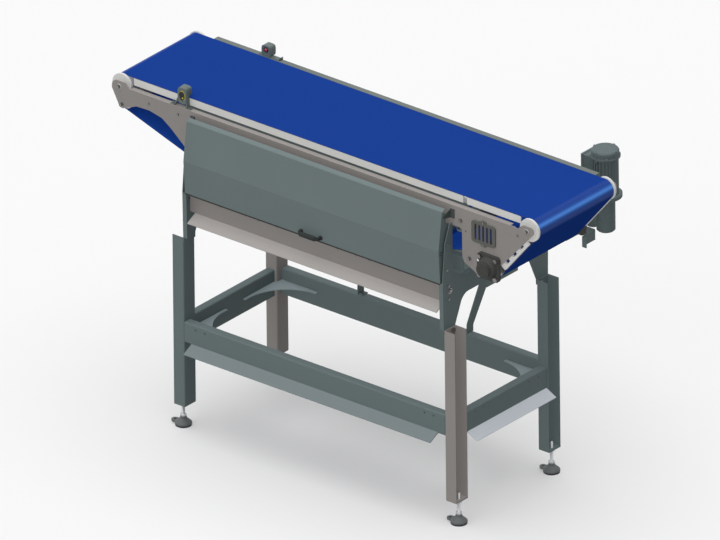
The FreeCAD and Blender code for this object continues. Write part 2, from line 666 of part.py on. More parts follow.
def rail_pieces(name, plane, face, top, half, skirt_half, side, holes, reach):
    """Channel and skirt fused; holes lie near the top of the outer web."""
    fold = top - size.web_drop
    channel = new_body(name + "Channel")
    path = [(side * (face - size.channel_width), fold - size.skirt_drop),
            (side * (face - size.channel_width), top), (side * face, top), (side * face, fold)]
    loops = [folded(path if side < 0 else path[::-1], size.sheet, size.bend)]
    pad(channel, plane, loops, -half, 2 * half)
    skirt = new_body(name + "Skirt")
    pad(skirt, plane, [skirt_section(face, fold, side)], -skirt_half, 2 * skirt_half)
    solid = fused(name + "Fused", [channel, skirt])
    if not holes:
        return solid
    drills = []
    for number, (along, height) in enumerate(holes):
        if plane == "YZ_Plane":
            at, axis = (along, side * (face - 8), height), (0, side, 0)
        else:
            at, axis = (side * (face - 8), along, height), (side, 0, 0)
        drills.append(rod("%sDrill%d" % (name, number), 3.5, reach, at, axis))
    return cut(name + "Drilled", solid, fused(name + "Drills", drills))


def stretcher_holes(half):
    return [(sign * (half - offset), size.stretcher_top - 18) for sign in (-1, 1) for offset in (50, 90)]


stretcher_half = size.leg_web - size.run_gap
skirt_half = size.leg_web - size.skirt_setback
for label, side in (("stretcher_front", FRONT), ("stretcher_rear", REAR)):
    keep(rail_pieces(label + "Raw", "YZ_Plane", size.stretcher_face, size.stretcher_top, stretcher_half,
                     skirt_half, side, stretcher_holes(stretcher_half), 12), label)


def across_stretcher(label, end):
    """Side stretcher: the same section, run along Y between the leg flanges."""
    half = size.leg_row - size.leg_half - size.run_gap
    solid = rail_pieces(label + "Raw", "YZ_Plane", size.side_stretcher, size.stretcher_top, half,
                        half - 6, end, [(y, size.stretcher_top - 18) for y in (-170, -120, 120, 170)], 12)
    turn = -90
    solid.Placement = Placement(Vector(0, 0, 0), Rotation(Vector(0, 0, 1), turn))
    return keep(solid, label)


across_stretcher("stretcher_right", RIGHT)
across_stretcher("stretcher_left", LEFT)

rail_half = size.leg_web - size.sheet - size.run_gap
rail_hole_places = (-440, -330, -270, -190, 80, 160, 220, 350)
for label, side in (("rail_front", FRONT), ("rail_rear", REAR)):
    rail_holes = [(x, size.rail_top - 18) for x in rail_hole_places]
    keep(rail_pieces(label + "Raw", "YZ_Plane", size.rail_face, size.rail_top, rail_half,
                     size.leg_web - 25, side, rail_holes, 12), label)

# Corner gussets: horn-shaped plates with a hollow inner edge

gussets = []
inner_y = size.stretcher_face - size.channel_width - size.run_gap
inner_x = size.side_stretcher - size.channel_width - size.run_gap
for place, (end, side) in corners.items():
    web_x = size.leg_web - size.run_gap
    leg_y = size.leg_row - size.leg_half - size.run_gap
    far_x, far_y = inner_x - size.gusset_long, leg_y - size.gusset_long
    at = [(far_x, inner_y), (web_x, inner_y), (web_x, leg_y), (inner_x, leg_y), (inner_x, far_y),
          (inner_x - 12, far_y), (far_x, inner_y - 12)]
    at = [Vector(end * x, side * y, 0) for x, y in at]
    hollow = Vector(end * (inner_x - 60), side * (inner_y - 58), 0)
    edges = [Part.LineSegment(at[i], at[i + 1]) for i in range(5)]
    edges += [Part.Arc(at[5], hollow, at[6]), Part.LineSegment(at[6], at[0])]
    gussets.append(pad(new_body("Gusset" + place), "XY_Plane", [edges], size.gusset_height - size.sheet,
                       "Sizes.sheet"))
grouped("corner_gussets", gussets)


# End bridge plates: arched plate across the stand, with ears that flank the conveyor

def bridge_plate(label, end):
    foot_in, foot_out = size.leg_row - size.leg_half, size.leg_row + size.leg_half
    arch_top = size.bridge_top - size.bridge_depth
    half = [
        (foot_in, size.foot_tab, 0), (foot_out, size.foot_tab, 8), (foot_out + 3, size.bridge_top + 8, 6),
        (foot_out - 11, size.ear_top - 68, 20), (size.ear_back + 14, size.ear_top, 6),
        (size.ear_back, size.ear_top, 4), (size.ear_back, size.bridge_top + 26, 8),
        (size.ear_back - 43, size.bridge_top, 4),
    ]
    arch = [(foot_in - 44, arch_top, 45), (foot_in, size.leg_top + 1, 10)]
    outline = [(y, z, r) for y, z, r in half] + [(-y, z, r) for y, z, r in half[::-1]]
    outline += [(-y, z, r) for y, z, r in arch[::-1]] + arch
    loops = [rounded([(y, z) for y, z, r in outline], [r for y, z, r in outline])]
    for side in (FRONT, REAR):
        loops.append(circle(side * (size.leg_row - 4), size.bridge_top - 35, 6.5))
        loops.append(circle(side * (size.leg_row + 3), size.bridge_top - 14, 3.2))
        loops.append(circle(side * (size.leg_row + 3), size.bridge_top - 64, 3.2))
    body = new_body(label)
    low, _ = interval(end, size.leg_web - size.sheet, size.leg_web)
    pad(body, "YZ_Plane", loops, low, "Sizes.sheet")
    low, _ = interval(end, size.leg_web - size.sheet - size.bridge_flange, size.leg_web - size.sheet / 2)
    flange_length = size.bridge_flange + size.sheet / 2
    ledge_half = size.ear_back - 44
    ledge = rectangle(-ledge_half, size.bridge_top - size.sheet, ledge_half, size.bridge_top)
    pad(body, "YZ_Plane", [ledge], low, flange_length)
    lip = rectangle(-foot_in + 90, arch_top, foot_in - 90, arch_top + size.sheet)
    pad(body, "YZ_Plane", [lip], low, flange_length)
    for side in (FRONT, REAR):
        edge = [(side * foot_out, size.foot_tab + 20), (side * (foot_out + 3), size.bridge_top),
                (side * (foot_out + 0), size.bridge_top), (side * (foot_out - 3), size.foot_tab + 20)]
        pad(body, "YZ_Plane", [rounded(edge, 0)], low, flange_length)
    return keep(body, label)


bridge_plate("end_plate_left", LEFT)
bridge_plate("end_plate_right", RIGHT)

# Weigh beams on the bridge ledges, load cells on their flanges, brackets up to the side plates

weigh_beams, cells, weigh_brackets = [], [], []
for side in (FRONT, REAR):
    row, base = size.beam_row, size.bridge_top + 0.1
    path = [(side * (row + size.beam_flange), base), (side * row, base), (side * row, base + size.beam_height),
            (side * (row - size.beam_flange), base + size.beam_height)]
    turn = -size.sheet if side > 0 else size.sheet
    section = folded(path, turn, size.bend)
    beam = new_body("WeighBeam%d" % (side + 1))
    weigh_beams.append(pad(beam, "YZ_Plane", [section], -rail_half, 2 * rail_half))
    for end in (LEFT, RIGHT):
        name = "%d%d" % (side + 1, end + 1)
        cell_row = row + size.sheet + size.bend + size.run_gap
        low_y, _ = interval(side, cell_row, cell_row + size.cell_width)
        low_x, _ = interval(end, size.cell_end - size.cell_length, size.cell_end)
        floor = base + size.sheet + size.spacer
        bar = block("Cell" + name, (low_x, low_y, floor), ("Sizes.cell_length", "Sizes.cell_width",
                                                           "Sizes.cell_height"))
        middle = end * (size.cell_end - size.cell_length / 2)
        eyes = [rod("CellEye%s%d" % (name, i), 9, 40, (middle + dx, low_y - 5, floor + size.cell_height / 2),
                    (0, 1, 0)) for i, dx in enumerate((-14, 14))]
        foot_low, _ = interval(end, size.cell_end - 36, size.cell_end)
        foot = block("CellFoot" + name, (foot_low, low_y, floor - size.spacer), (36, "Sizes.cell_width",
                                                                               "Sizes.spacer"))
        cells.append(cut("LoadCell" + name, fused("CellSolid" + name, [bar, foot]), fused("CellEyes" + name, eyes)))
        shelf = floor + size.cell_height
        arm = [(side * cell_row, shelf), (side * plate_inner, shelf),
               (side * plate_inner, shelf + size.bracket_height)]
        arm_sheet = size.sheet if side > 0 else -size.sheet
        arm_start = size.cell_end - size.cell_length
        arm_low, _ = interval(end, arm_start, arm_start + size.bracket_width)
        weigh_brackets.append(pad(new_body("WeighBracket" + name), "YZ_Plane",
                                  [folded(arm, arm_sheet, size.bend)], arm_low,
                                  "Sizes.bracket_width"))
grouped("load_beams", weigh_beams)
grouped("load_cells", cells)
grouped("weigh_brackets", weigh_brackets)


# Swing covers: folded sheet hung on end hinges, with a C-shaped pull at the lower edge

def cover(side, name):
    row, high, low = size.hinge_row, size.hinge_height, size.hinge_height - size.cover_drop
    path = [(side * (row - 5), high + size.cover_rise), (side * (row + 12), high + size.cover_rise - 6),
            (side * (row + size.cover_belly), high - size.cover_break), (side * (row + size.cover_toe), low),
            (side * (row + 12), low)]
    turn = -size.cover_sheet if side > 0 else size.cover_sheet
    shell = new_body("CoverShell" + name)
    pad(shell, "YZ_Plane", [folded(path, turn, size.bend)], -size.cover_half, "2 * Sizes.cover_half")
    shapes = [shell]
    within = size.cover_sheet / 2
    cheek = [(row - 8, high - 20, 6), (row - 8, high + 10, 8), (row + 8, high + 17, 4),
             (row + 12 - within, high + size.cover_rise - 6 - size.cover_sheet, 0),
             (row + size.cover_belly - within, high - size.cover_break, 0),
             (row + size.cover_toe - within, low + within, 0), (row + 12, low + within, 4),
             (row - size.cover_depth, low + 30, 10), (row - size.cover_depth, high - 60, 20)]
    outline = rounded([(side * y, z) for y, z, r in cheek], [r for y, z, r in cheek])
    for end in (LEFT, RIGHT):
        hook = new_body("CoverCheek%s%d" % (name, end + 1))
        start, _ = interval(end, size.cover_half - size.sheet, size.cover_half)
        eye = circle(side * row, high, size.hinge_pin + size.shaft_gap)
        shapes.append(pad(hook, "YZ_Plane", [outline, eye], start, "Sizes.sheet"))
    keep(fused("cover_" + name, shapes), "cover_" + name)
    slope = (size.cover_belly - size.cover_toe) / (size.cover_drop - size.cover_break)
    base = row + size.cover_toe + slope * (size.handle_lift + size.handle_high / 2) + size.run_gap
    low_x, high_x = size.handle_middle - size.handle_length / 2, size.handle_middle + size.handle_length / 2
    pull = [(low_x, side * base), (low_x, side * (base + size.handle_reach)),
            (high_x, side * (base + size.handle_reach)), (high_x, side * base)]
    bar = -size.handle_bar if side > 0 else size.handle_bar
    handle = new_body("cover_handle_" + name)
    pad(handle, "XY_Plane", [folded(pull, bar, size.handle_bar - 1)],
        size.handle_height - size.handle_high / 2, "Sizes.handle_high")
    keep(handle, "cover_handle_" + name)


cover(FRONT, "front")
cover(REAR, "rear")

# Hinge lugs: ear with a pin, fixed to the side plate at each end of a cover

lugs = []
for side in (FRONT, REAR):
    for end in (LEFT, RIGHT):
        name = "%d%d" % (side + 1, end + 1)
        row, high = size.hinge_row, size.hinge_height
        lug = new_body("HingeLug" + name)
        low, _ = interval(end, size.cover_half + 1, size.cover_half + 4)
        points = [(side * (size.plate_face + size.run_gap), high - 14), (side * (row + 6), high - 6),
                  (side * (row + 6), high + 6), (side * (size.plate_face + size.run_gap), high + 20)]
        pad(lug, "YZ_Plane", [rounded(points, [0, 5, 5, 0])], low, 3)
        foot = block("HingeFoot" + name, (min(end * (size.cover_half + 1), end * (size.cover_half + 19)),
                     min(side * (size.plate_face + size.run_gap), side * (size.plate_face + size.run_gap + 3)),
                     high - 14), (18, 3, 34))
        pin_start = end * (size.cover_half + 2)
        pin = rod("HingePin" + name, "Sizes.hinge_pin", 14, (pin_start, side * row, high), (-end, 0, 0))
        lugs.append(fused("Hinge" + name, [lug, foot, pin]))
grouped("hinge_lugs", lugs)

# Control cabinet on two arms that stand on the rear stretcher

arms = []
foot_inner = size.stretcher_face - size.channel_width
for end in (LEFT, RIGHT):
    arm = new_body("CabinetArm%d" % (end + 1))
    base, tip = size.stretcher_top + size.run_gap, size.cabinet_front
    low_z, high_z = size.cabinet_bottom + 6, size.cabinet_bottom + size.cabinet_height - 37
    outline = [(foot_inner + 1, base, 2), (size.stretcher_face, base, 2), (size.stretcher_face, base + 24, 10),
               (tip, low_z, 6), (tip, high_z, 10), (tip - 34, high_z, 20), (tip - 34, low_z + 30, 40),
               (foot_inner + 1, base + 36, 20)]
    loops = [rounded([(y, z) for y, z, r in outline], [r for y, z, r in outline])]
    low, _ = interval(end, size.cabinet_half - size.sheet, size.cabinet_half)
    pad(arm, "YZ_Plane", loops, low, "Sizes.sheet")
    low, _ = interval(end, size.cabinet_half - 20, size.cabinet_half - 1)
    pad(arm, "YZ_Plane", [rectangle(foot_inner + 1, base, size.stretcher_face, base + size.sheet)], low, 19)
    pad(arm, "YZ_Plane", [rectangle(tip - size.sheet, low_z + 5, tip, high_z - 12)], low, 19)
    arms.append(keep(arm, "cabinet_arm_left" if end == LEFT else "cabinet_arm_right"))

half, wall = size.cabinet_half, size.cabinet_wall
case_y, case_z = size.cabinet_front + size.run_gap, size.cabinet_bottom
shell_outer = block("CaseOuter", (-half, case_y, case_z), ("2 * Sizes.cabinet_half", "Sizes.cabinet_depth",
                                                           "Sizes.cabinet_height"))
shell_inner = block("CaseInner", (-half + wall, case_y + wall, case_z + wall), (
    "2 * Sizes.cabinet_half - 2 * Sizes.cabinet_wall", "Sizes.cabinet_depth",
    "Sizes.cabinet_height - 2 * Sizes.cabinet_wall"))
case = cut("CabinetCase", shell_outer, shell_inner)
keep(case, "cabinet_case")
panel = block("cabinet_panel", (-half + 30, case_y + wall + 12, case_z + 30), (
    "2 * Sizes.cabinet_half - 60", 2, "Sizes.cabinet_height - 60"))
studs = [rod("PanelStud%d" % i, 5, 12, (sx * (half - 45), case_y + wall, case_z + size.cabinet_height / 2 + sz * (
    size.cabinet_height / 2 - 45)), (0, 1, 0)) for i, (sx, sz) in enumerate(((-1, -1), (1, -1), (1, 1), (-1, 1)))]
keep(fused("CabinetPanel", [panel] + studs), "cabinet_panel")
door_y = case_y + size.cabinet_depth + size.door_gap
door_outer = block("DoorOuter", (-half, door_y, case_z), ("2 * Sizes.cabinet_half", "Sizes.door_depth",
                                                          "Sizes.cabinet_height"))
door_inner = block("DoorInner", (-half + wall, door_y - wall, case_z + wall), (
    "2 * Sizes.cabinet_half - 2 * Sizes.cabinet_wall", "Sizes.door_depth",
    "Sizes.cabinet_height - 2 * Sizes.cabinet_wall"))
latch_x, latch_z = half - 28, case_z + size.cabinet_height / 2
latch_way = rod("LatchWay", 9.3, 30, (latch_x, door_y - 5, latch_z), (0, 1, 0))
knuckles = []
hinge_x, hinge_y = -half - size.door_pin - 3, door_y + 2
for number, z in enumerate((case_z + 40, case_z + size.cabinet_height - 80)):
    leaf = block("DoorLeaf%d" % number, (hinge_x, hinge_y - 2 + wall, z + 20.5), (size.door_pin + 4, 3, 19.5))
    knuckles.append(leaf)
    knuckles.append(rod("DoorKnuckle%d" % number, "Sizes.door_pin + 2", 19.5, (hinge_x, hinge_y, z + 20.5)))
door_shell = cut("DoorShell", cut("DoorPan", door_outer, door_inner), latch_way)
pin_way = fused("PinWays", [rod("PinWay%d" % i, size.door_pin / 2 + size.shaft_gap, 60, (hinge_x, hinge_y, z - 10))
                            for i, z in enumerate((case_z + 40, case_z + size.cabinet_height - 80))])
keep(cut("CabinetDoor", fused("DoorFused", [door_shell] + knuckles), pin_way), "cabinet_door")

hinges = []
for number, z in enumerate((case_z + 40, case_z + size.cabinet_height - 80)):
    leaf = block("CaseLeaf%d" % number, (-half - 3, hinge_y - 26, z), (2.9, 22, 20))
    arm = block("CaseLeafArm%d" % number, (hinge_x - 2, hinge_y - 9, z), (size.door_pin + 4.9, 5, 20))
    barrel = rod("CaseBarrel%d" % number, "Sizes.door_pin + 2", 20, (hinge_x, hinge_y, z))
    pin = rod("CasePin%d" % number, "Sizes.door_pin / 2", 38, (hinge_x, hinge_y, z))
    hinges.append(fused("CaseHinge%d" % number, [leaf, arm, barrel, pin]))
grouped("cabinet_hinges", hinges)

latch_barrel = rod("LatchBarrel", 9, 24, (latch_x, door_y - 4, latch_z), (0, 1, 0))
latch_head = rod("LatchHead", 13, 5, (latch_x, door_y + size.door_depth + size.run_gap, latch_z), (0, 1, 0))
latch_wing = block("LatchWing", (latch_x - 3, door_y + size.door_depth + 5, latch_z - 11), (6, 8, 22))
latch_tongue = block("LatchTongue", (latch_x - 8, door_y - 4, latch_z - 8), (24, 3, 16))
keep(fused("DoorLatch", [latch_barrel, latch_head, latch_wing, latch_tongue]), "door_latch")


# Product sensors: a guarded photo-eye on the front flange, its mate on the rear flange

guard_half, guard_foot, guard_bend = 25, 19, 4
guard_base = size.plate_top + size.run_gap
guard_path = [(size.eye_x - guard_half - guard_foot, guard_base), (size.eye_x - guard_half, guard_base),
              (size.eye_x - guard_half, size.eye_guard_top), (size.eye_x + guard_half, size.eye_guard_top),
              (size.eye_x + guard_half, guard_base), (size.eye_x + guard_half + guard_foot, guard_base)]
padded("eye_guard", "XZ_Plane", [folded(guard_path, size.sheet, guard_bend)], -plate_inner, size.plate_flange - 1)
eye_width, eye_depth, eye_height = 24, 16, 42
eye_base = guard_base + 8
eye_body = block("EyeBody", (size.eye_x - eye_width / 2, -plate_inner + 1, eye_base),
                 (eye_width, eye_depth, eye_height))
eye_foot = block("EyeFoot", (size.eye_x - 16, -plate_inner + 1, guard_base), (32, eye_depth - 2, 8))
keep(fused("PhotoEye", [eye_body, eye_foot]), "photo_eye")
eye_lens_height = eye_base + eye_height - 13
lens_front = rod("LensFront", 7, 2, (size.eye_x, -plate_inner + 1 + eye_depth, eye_lens_height), (0, 1, 0))
rear_eye_y = plate_inner - 17
lens_rear = rod("LensRear", 7, 2, (size.far_eye_x, rear_eye_y - 2, eye_lens_height), (0, 1, 0))
grouped("eye_lenses", [lens_front, lens_rear])
far_body = new_body("FarEyeBody")
far_outline = [(size.far_eye_x - 15, guard_base + 4, 1), (size.far_eye_x + 15, guard_base + 4, 1),
               (size.far_eye_x + 15, guard_base + 54, 6), (size.far_eye_x - 15, guard_base + 54, 14)]
pad(far_body, "XZ_Plane", [rounded([(x, z) for x, z, r in far_outline], [r for x, z, r in far_outline])],
    rear_eye_y, 30)
far_foot = block("FarEyeFoot", (size.far_eye_x - 20, rear_eye_y + 1, guard_base), (80, 16, 4))
keep(fused("FarEye", [far_body, far_foot]), "far_eye")

# Fasteners, as two groups

stand_bolts = []
for end in (LEFT, RIGHT):
    for side in (FRONT, REAR):
        at = (end * (size.leg_web + size.sheet + 0.1), side * (size.leg_row - 14), size.leg_top - 12)
        stand_bolts.append(hexagon("StandBolt%d%d" % (end + 1, side + 1), 9, 6, at, (end, 0, 0)))
        at = (end * (size.leg_web - size.sheet - 0.1), side * (size.beam_row + 12), size.bridge_top - 30)
        stand_bolts.append(hexagon("BridgeBolt%d%d" % (end + 1, side + 1), 8, 6, at, (-end, 0, 0)))
for end in (LEFT, RIGHT):
    at = (end * (size.cabinet_half - 11), foot_inner + 17, size.stretcher_top + size.run_gap + size.sheet + 0.1)
    stand_bolts.append(hexagon("ArmBolt%d" % (end + 1), 7, 5, at))
grouped("stand_bolts", stand_bolts)

conveyor_bolts = []
for side in (FRONT, REAR):
    for dx in (-1, 1):
        for dz in (-1, 1):
            at = (size.drive_x + dx * size.bearing_bolts / 2, side * (size.plate_face + 13.1),
                  size.drive_height + dz * size.bearing_bolts / 2)
            name = "BearingBolt%d%d%d" % (side + 1, dx + 1, dz + 1)
            conveyor_bolts.append(hexagon(name, 9, 7, at, (0, side, 0)))
for dz in (-1, 1):
    at = (size.grille_x, -size.plate_face - 5 - size.run_gap - 0.1, size.grille_height + dz * (half_high + 1))
    conveyor_bolts.append(rod("GrilleScrew%d" % (dz + 1), 3.5, 2.5, at, (0, -1, 0)))
guard_bolt = guard_half + size.sheet + guard_bend + 5.5
for x in (size.eye_x - guard_bolt, size.eye_x + guard_bolt):
    conveyor_bolts.append(hexagon("GuardBolt%d" % x, 5, 4, (x, -plate_inner + 9, guard_base + size.sheet + 0.1)))
grouped("conveyor_bolts", conveyor_bolts)

# Check every object, then write one file for each sub-part

doc.recompute()
faults = []
for part in doc.Objects:
    if "Invalid" in part.State or "Error" in part.State:
        faults.append("%s is in state %s" % (part.Label, part.State))
for label, part in nodes.items():
    if part.Shape.isNull() or not part.Shape.isValid():
        faults.append("%s has no sound shape" % label)
if faults:
    raise RuntimeError("; ".join(faults))
for label, part in nodes.items():
    part.Shape.exportStep("parts/%s.step" % label)
    print("%-22s solids %2d  volume %12.0f" % (label, len(part.Shape.Solids), part.Shape.Volume))
print("nodes", len(nodes))
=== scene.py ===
import json
import math

import bmesh
import bpy
import numpy as np
from mathutils import Matrix, Vector

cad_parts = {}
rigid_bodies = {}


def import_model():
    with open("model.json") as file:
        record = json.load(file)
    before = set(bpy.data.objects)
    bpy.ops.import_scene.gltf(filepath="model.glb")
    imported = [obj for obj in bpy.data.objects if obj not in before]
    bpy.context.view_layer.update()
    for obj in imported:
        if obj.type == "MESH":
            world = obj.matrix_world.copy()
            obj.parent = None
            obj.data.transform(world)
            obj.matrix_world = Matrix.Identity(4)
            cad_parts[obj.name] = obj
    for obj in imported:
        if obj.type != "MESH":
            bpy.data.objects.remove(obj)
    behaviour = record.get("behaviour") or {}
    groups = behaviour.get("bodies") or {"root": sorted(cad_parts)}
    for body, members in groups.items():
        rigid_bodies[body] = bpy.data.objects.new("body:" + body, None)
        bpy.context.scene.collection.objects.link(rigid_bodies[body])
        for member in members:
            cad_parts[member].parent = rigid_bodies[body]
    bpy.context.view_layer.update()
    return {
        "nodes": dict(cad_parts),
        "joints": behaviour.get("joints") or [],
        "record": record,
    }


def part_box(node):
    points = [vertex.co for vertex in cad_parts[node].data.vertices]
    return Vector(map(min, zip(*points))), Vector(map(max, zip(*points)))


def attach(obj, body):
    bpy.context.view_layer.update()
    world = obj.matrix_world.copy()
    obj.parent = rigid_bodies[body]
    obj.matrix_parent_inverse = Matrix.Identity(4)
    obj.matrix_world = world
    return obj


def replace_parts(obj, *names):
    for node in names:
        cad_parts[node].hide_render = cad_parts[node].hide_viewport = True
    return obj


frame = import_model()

nodes = frame["nodes"]
jointAt = {joint["name"]: Vector(joint["pos_m"]) for joint in frame["joints"] if "pos_m" in joint}
print("frame loaded:", len(nodes), "nodes")


def boxOf(node):
    # lower corner, upper corner and middle of a node's box
    low, high = (np.array(corner, dtype=float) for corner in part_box(node))
    return low, high, (low + high) / 2


# Camera: level drawing view turned to the right and looking down, a little rolled

cameraSet = {"azimuth": 39.6, "elevation": 26.5, "roll": 0.59, "width": 2.462,
             "right": -0.026, "up": 0.609, "distance": 7.0}


def setCamera(values):
    # right = (cos a, sin a, 0); up = (-sin a sin e, cos a sin e, cos e); both are then turned by the roll
    a, e, roll = (math.radians(values[key]) for key in ("azimuth", "elevation", "roll"))
    right = Vector((math.cos(a), math.sin(a), 0))
    up = Vector((-math.sin(a) * math.sin(e), math.cos(a) * math.sin(e), math.cos(e)))
    right, up = right * math.cos(roll) - up * math.sin(roll), up * math.cos(roll) + right * math.sin(roll)
    back = right.cross(up)
    place = right * values["right"] + up * values["up"] + back * values["distance"]
    data = bpy.data.cameras.new("camera")
    data.type = "ORTHO"
    data.ortho_scale = values["width"]
    camera = bpy.data.objects.new("camera", data)
    bpy.context.scene.collection.objects.link(camera)
    camera.matrix_world = Matrix.Translation(place) @ Matrix((right, up, back)).transposed().to_4x4()
    bpy.context.scene.camera = camera


setCamera(cameraSet)
bpy.context.scene.view_settings.view_transform = "Standard"


class Wire:
    # A socket that shader maths can be written with; each operator adds one Math node.

    def __init__(self, maker, socket):
        self.maker, self.socket = maker, socket

    def maths(self, operation, first, second=0.0):
        node = self.maker.add("ShaderNodeMath", {"operation": operation}, {0: first, 1: second})
        return Wire(self.maker, node.outputs[0])

    def __add__(self, other):
        return self.maths("ADD", self, other)

    def __radd__(self, other):
        return self.maths("ADD", other, self)

    def __sub__(self, other):
        return self.maths("SUBTRACT", self, other)

    def __rsub__(self, other):
        return self.maths("SUBTRACT", other, self)

    def __mul__(self, other):
        return self.maths("MULTIPLY", self, other)

    def __rmul__(self, other):
        return self.maths("MULTIPLY", other, self)

    def __abs__(self):
        return self.maths("ABSOLUTE", self)

    def __gt__(self, limit):
        return self.maths("GREATER_THAN", self, limit)


class Maker:
    # One node tree under construction, a material's or the world's.

    def __init__(self, owner):
        self.owner = owner
        self.owner.use_nodes = True
        self.tree = owner.node_tree
        self.tree.nodes.clear()
        self.objectPoint = None

    def add(self, kind, settings=None, inputs=None):
        # type of node, its settings first, then values or links for its sockets
        node = self.tree.nodes.new(kind)
        for key, value in (settings or {}).items():
            setattr(node, key, value)
        for key, value in (inputs or {}).items():
            if isinstance(value, Wire):
                value = value.socket
            if isinstance(value, bpy.types.NodeSocket):
                self.tree.links.new(value, node.inputs[key])
            else:
                node.inputs[key].default_value = value
        return node

    def point(self):
        # object coordinates, from one node that the whole tree shares
        if self.objectPoint is None:
            self.objectPoint = self.add("ShaderNodeTexCoord").outputs["Object"]
        return self.objectPoint

    def place(self, axis):
        # one coordinate of the point: 0, 1 or 2 for x, y or z
        return Wire(self, self.add("ShaderNodeSeparateXYZ", {}, {0: self.point()}).outputs[axis])

    def stretched(self, scale):
        return self.add("ShaderNodeMapping", {}, {"Vector": self.point(), "Scale": scale}).outputs[0]

    def noise(self, scale, detail, vector=None):
        node = self.add("ShaderNodeTexNoise", {}, {"Vector": vector or self.point(), "Scale": scale,
                                                   "Detail": detail})
        return Wire(self, node.outputs["Fac"])

    def wave(self, direction, scale):
        node = self.add("ShaderNodeTexWave", {"bands_direction": direction},
                        {"Vector": self.point(), "Scale": scale})
        return Wire(self, node.outputs["Fac"])

    def ramp(self, value, start, end):
        # 0 before the start, 1 past the end, smooth between them
        node = self.add("ShaderNodeMapRange", {"interpolation_type": "SMOOTHSTEP"},
                        {"Value": value, "From Min": start, "From Max": end})
        return Wire(self, node.outputs["Result"])

    def seen(self):
        # at least 1 for rays that show the background: from the camera, off a gloss or through glass
        path = self.add("ShaderNodeLightPath")
        camera, glossy, through = (Wire(self, path.outputs[kind]) for kind in
                                   ("Is Camera Ray", "Is Glossy Ray", "Is Transmission Ray"))
        return camera + glossy + through

    def blend(self, factor, first, second):
        node = self.add("ShaderNodeMix", {"data_type": "RGBA"}, {0: factor, 6: first, 7: second})
        return node.outputs[2]

    def toned(self, factor, colour, shades):
        # mix of a darker and a lighter shade of one colour
        dark, light = (tuple(min(1.0, c * share) for c in colour[:3]) + (1.0,) for share in shades)
        return self.blend(factor, dark, light)

    def bump(self, height, values):
        node = self.add("ShaderNodeBump", {}, {"Height": height, "Strength": values["bump"],
                                               "Distance": values["depth"]})
        return node.outputs["Normal"]

    def finish(self, **sockets):
        names = {key.replace("_", " "): value for key, value in sockets.items()}
        shader = self.add("ShaderNodeBsdfPrincipled", {}, names)
        self.add("ShaderNodeOutputMaterial", {}, {"Surface": shader.outputs[0]})
        return self.owner

    def grained(self, tone, grain, values, **sockets):
        # one fine grain sets the roughness, base + grain * span, and the bump
        return self.finish(Base_Color=tone, Roughness=values["rough"] + grain * values["span"],
                           Normal=self.bump(grain, values), **sockets)


# Finishes: a drifting tone and a fine grain. A noise is (scale, detail), a mix two noises' shares

def startFinish(name):
    return Maker(bpy.data.materials.new(name))


coatSet = {"drift": (3.5, 3.0), "speck": (420.0, 1.0), "mix": (0.7, 0.3), "shades": (0.90, 1.10),
           "webShades": (0.93, 1.07), "skirtHighlightShades": (0.97, 1.03), "rough": 0.50, "span": 0.16,
           "index": 1.18, "bump": 0.12, "depth": 0.0006}


def powderCoat(name, colour, values=coatSet):
    # slow noise, with a little of the fine orange peel, between two near shades
    maker = startFinish(name)
    drift, speck = maker.noise(*values["drift"]), maker.noise(*values["speck"])
    slow, fine = values["mix"]
    tone = maker.toned(drift * slow + speck * fine, colour, values["shades"])
    return maker.grained(tone, speck, values, IOR=values["index"])


def skirtHighlightCoat(name, axis, face, colour, skirtHighlightColour, values=coatSet):
    # powder coat with a second, paler tone where |x| or |y| lies beyond the web's face, that is on the
    # skirt: a painted highlight for the light that the up-tilted skirt catches
    maker = startFinish(name)
    speck = maker.noise(*values["speck"])
    web = maker.toned(speck, colour, values["webShades"])
    # the skirt's paler tone is a painted highlight
    skirt = maker.toned(speck, skirtHighlightColour, values["skirtHighlightShades"])
    tone = maker.blend(abs(maker.place(axis)) > face, web, skirt)
    return maker.grained(tone, speck, values, IOR=values["index"])


clothSet = {"weave": 260.0, "drift": (2.2, 2.0), "stretch": (0.35, 2.4, 1.0), "mix": (0.8, 0.2),
            "shades": (0.92, 1.08), "rough": 0.45, "span": 0.10, "bump": 0.10, "depth": 0.0004,
            "bendStart": 0.014, "bendBelow": 0.020, "coatRough": 0.42, "coatIndex": 1.2}


def beltCover(name, colour, values=clothSet):
    # crossed waves make the fabric imprint; slow noise along the run gives the polish of use;
    # a thin coat that sets in on the bends round the noses gives them their shine
    maker = startFinish(name)
    noseX, _, noseZ = boxOf("end_roller_right")[2]
    beyond = maker.ramp(abs(maker.place(0)), noseX, noseX + values["bendStart"])
    above = maker.ramp(maker.place(2), noseZ - values["bendBelow"], noseZ)
    weave = maker.wave("X", values["weave"]) * maker.wave("Y", values["weave"])
    drift = maker.noise(*values["drift"], maker.stretched(values["stretch"]))
    slow, fine = values["mix"]
    tone = maker.toned(drift * slow + weave * fine, colour, values["shades"])
    return maker.finish(Base_Color=tone, Roughness=values["rough"] + drift * values["span"],
                        Specular_IOR_Level=0.0, Coat_Weight=beyond * above,
                        Coat_Roughness=values["coatRough"], Coat_IOR=values["coatIndex"],
                        Normal=maker.bump(weave, values))


plasticSet = {"drift": (9.0, 2.0), "grain": (700.0, 1.0), "shades": (0.95, 1.04), "rough": 0.42,
              "span": 0.14, "specular": 0.35, "bump": 0.06, "depth": 0.0003}


def mouldedPlastic(name, colour, rough=plasticSet["rough"]):
    # slow noise between two near shades; fine moulded grain
    values = {**plasticSet, "rough": rough}
    maker = startFinish(name)
    tone = maker.toned(maker.noise(*values["drift"]), colour, values["shades"])
    return maker.grained(tone, maker.noise(*values["grain"]), values, Specular_IOR_Level=values["specular"])


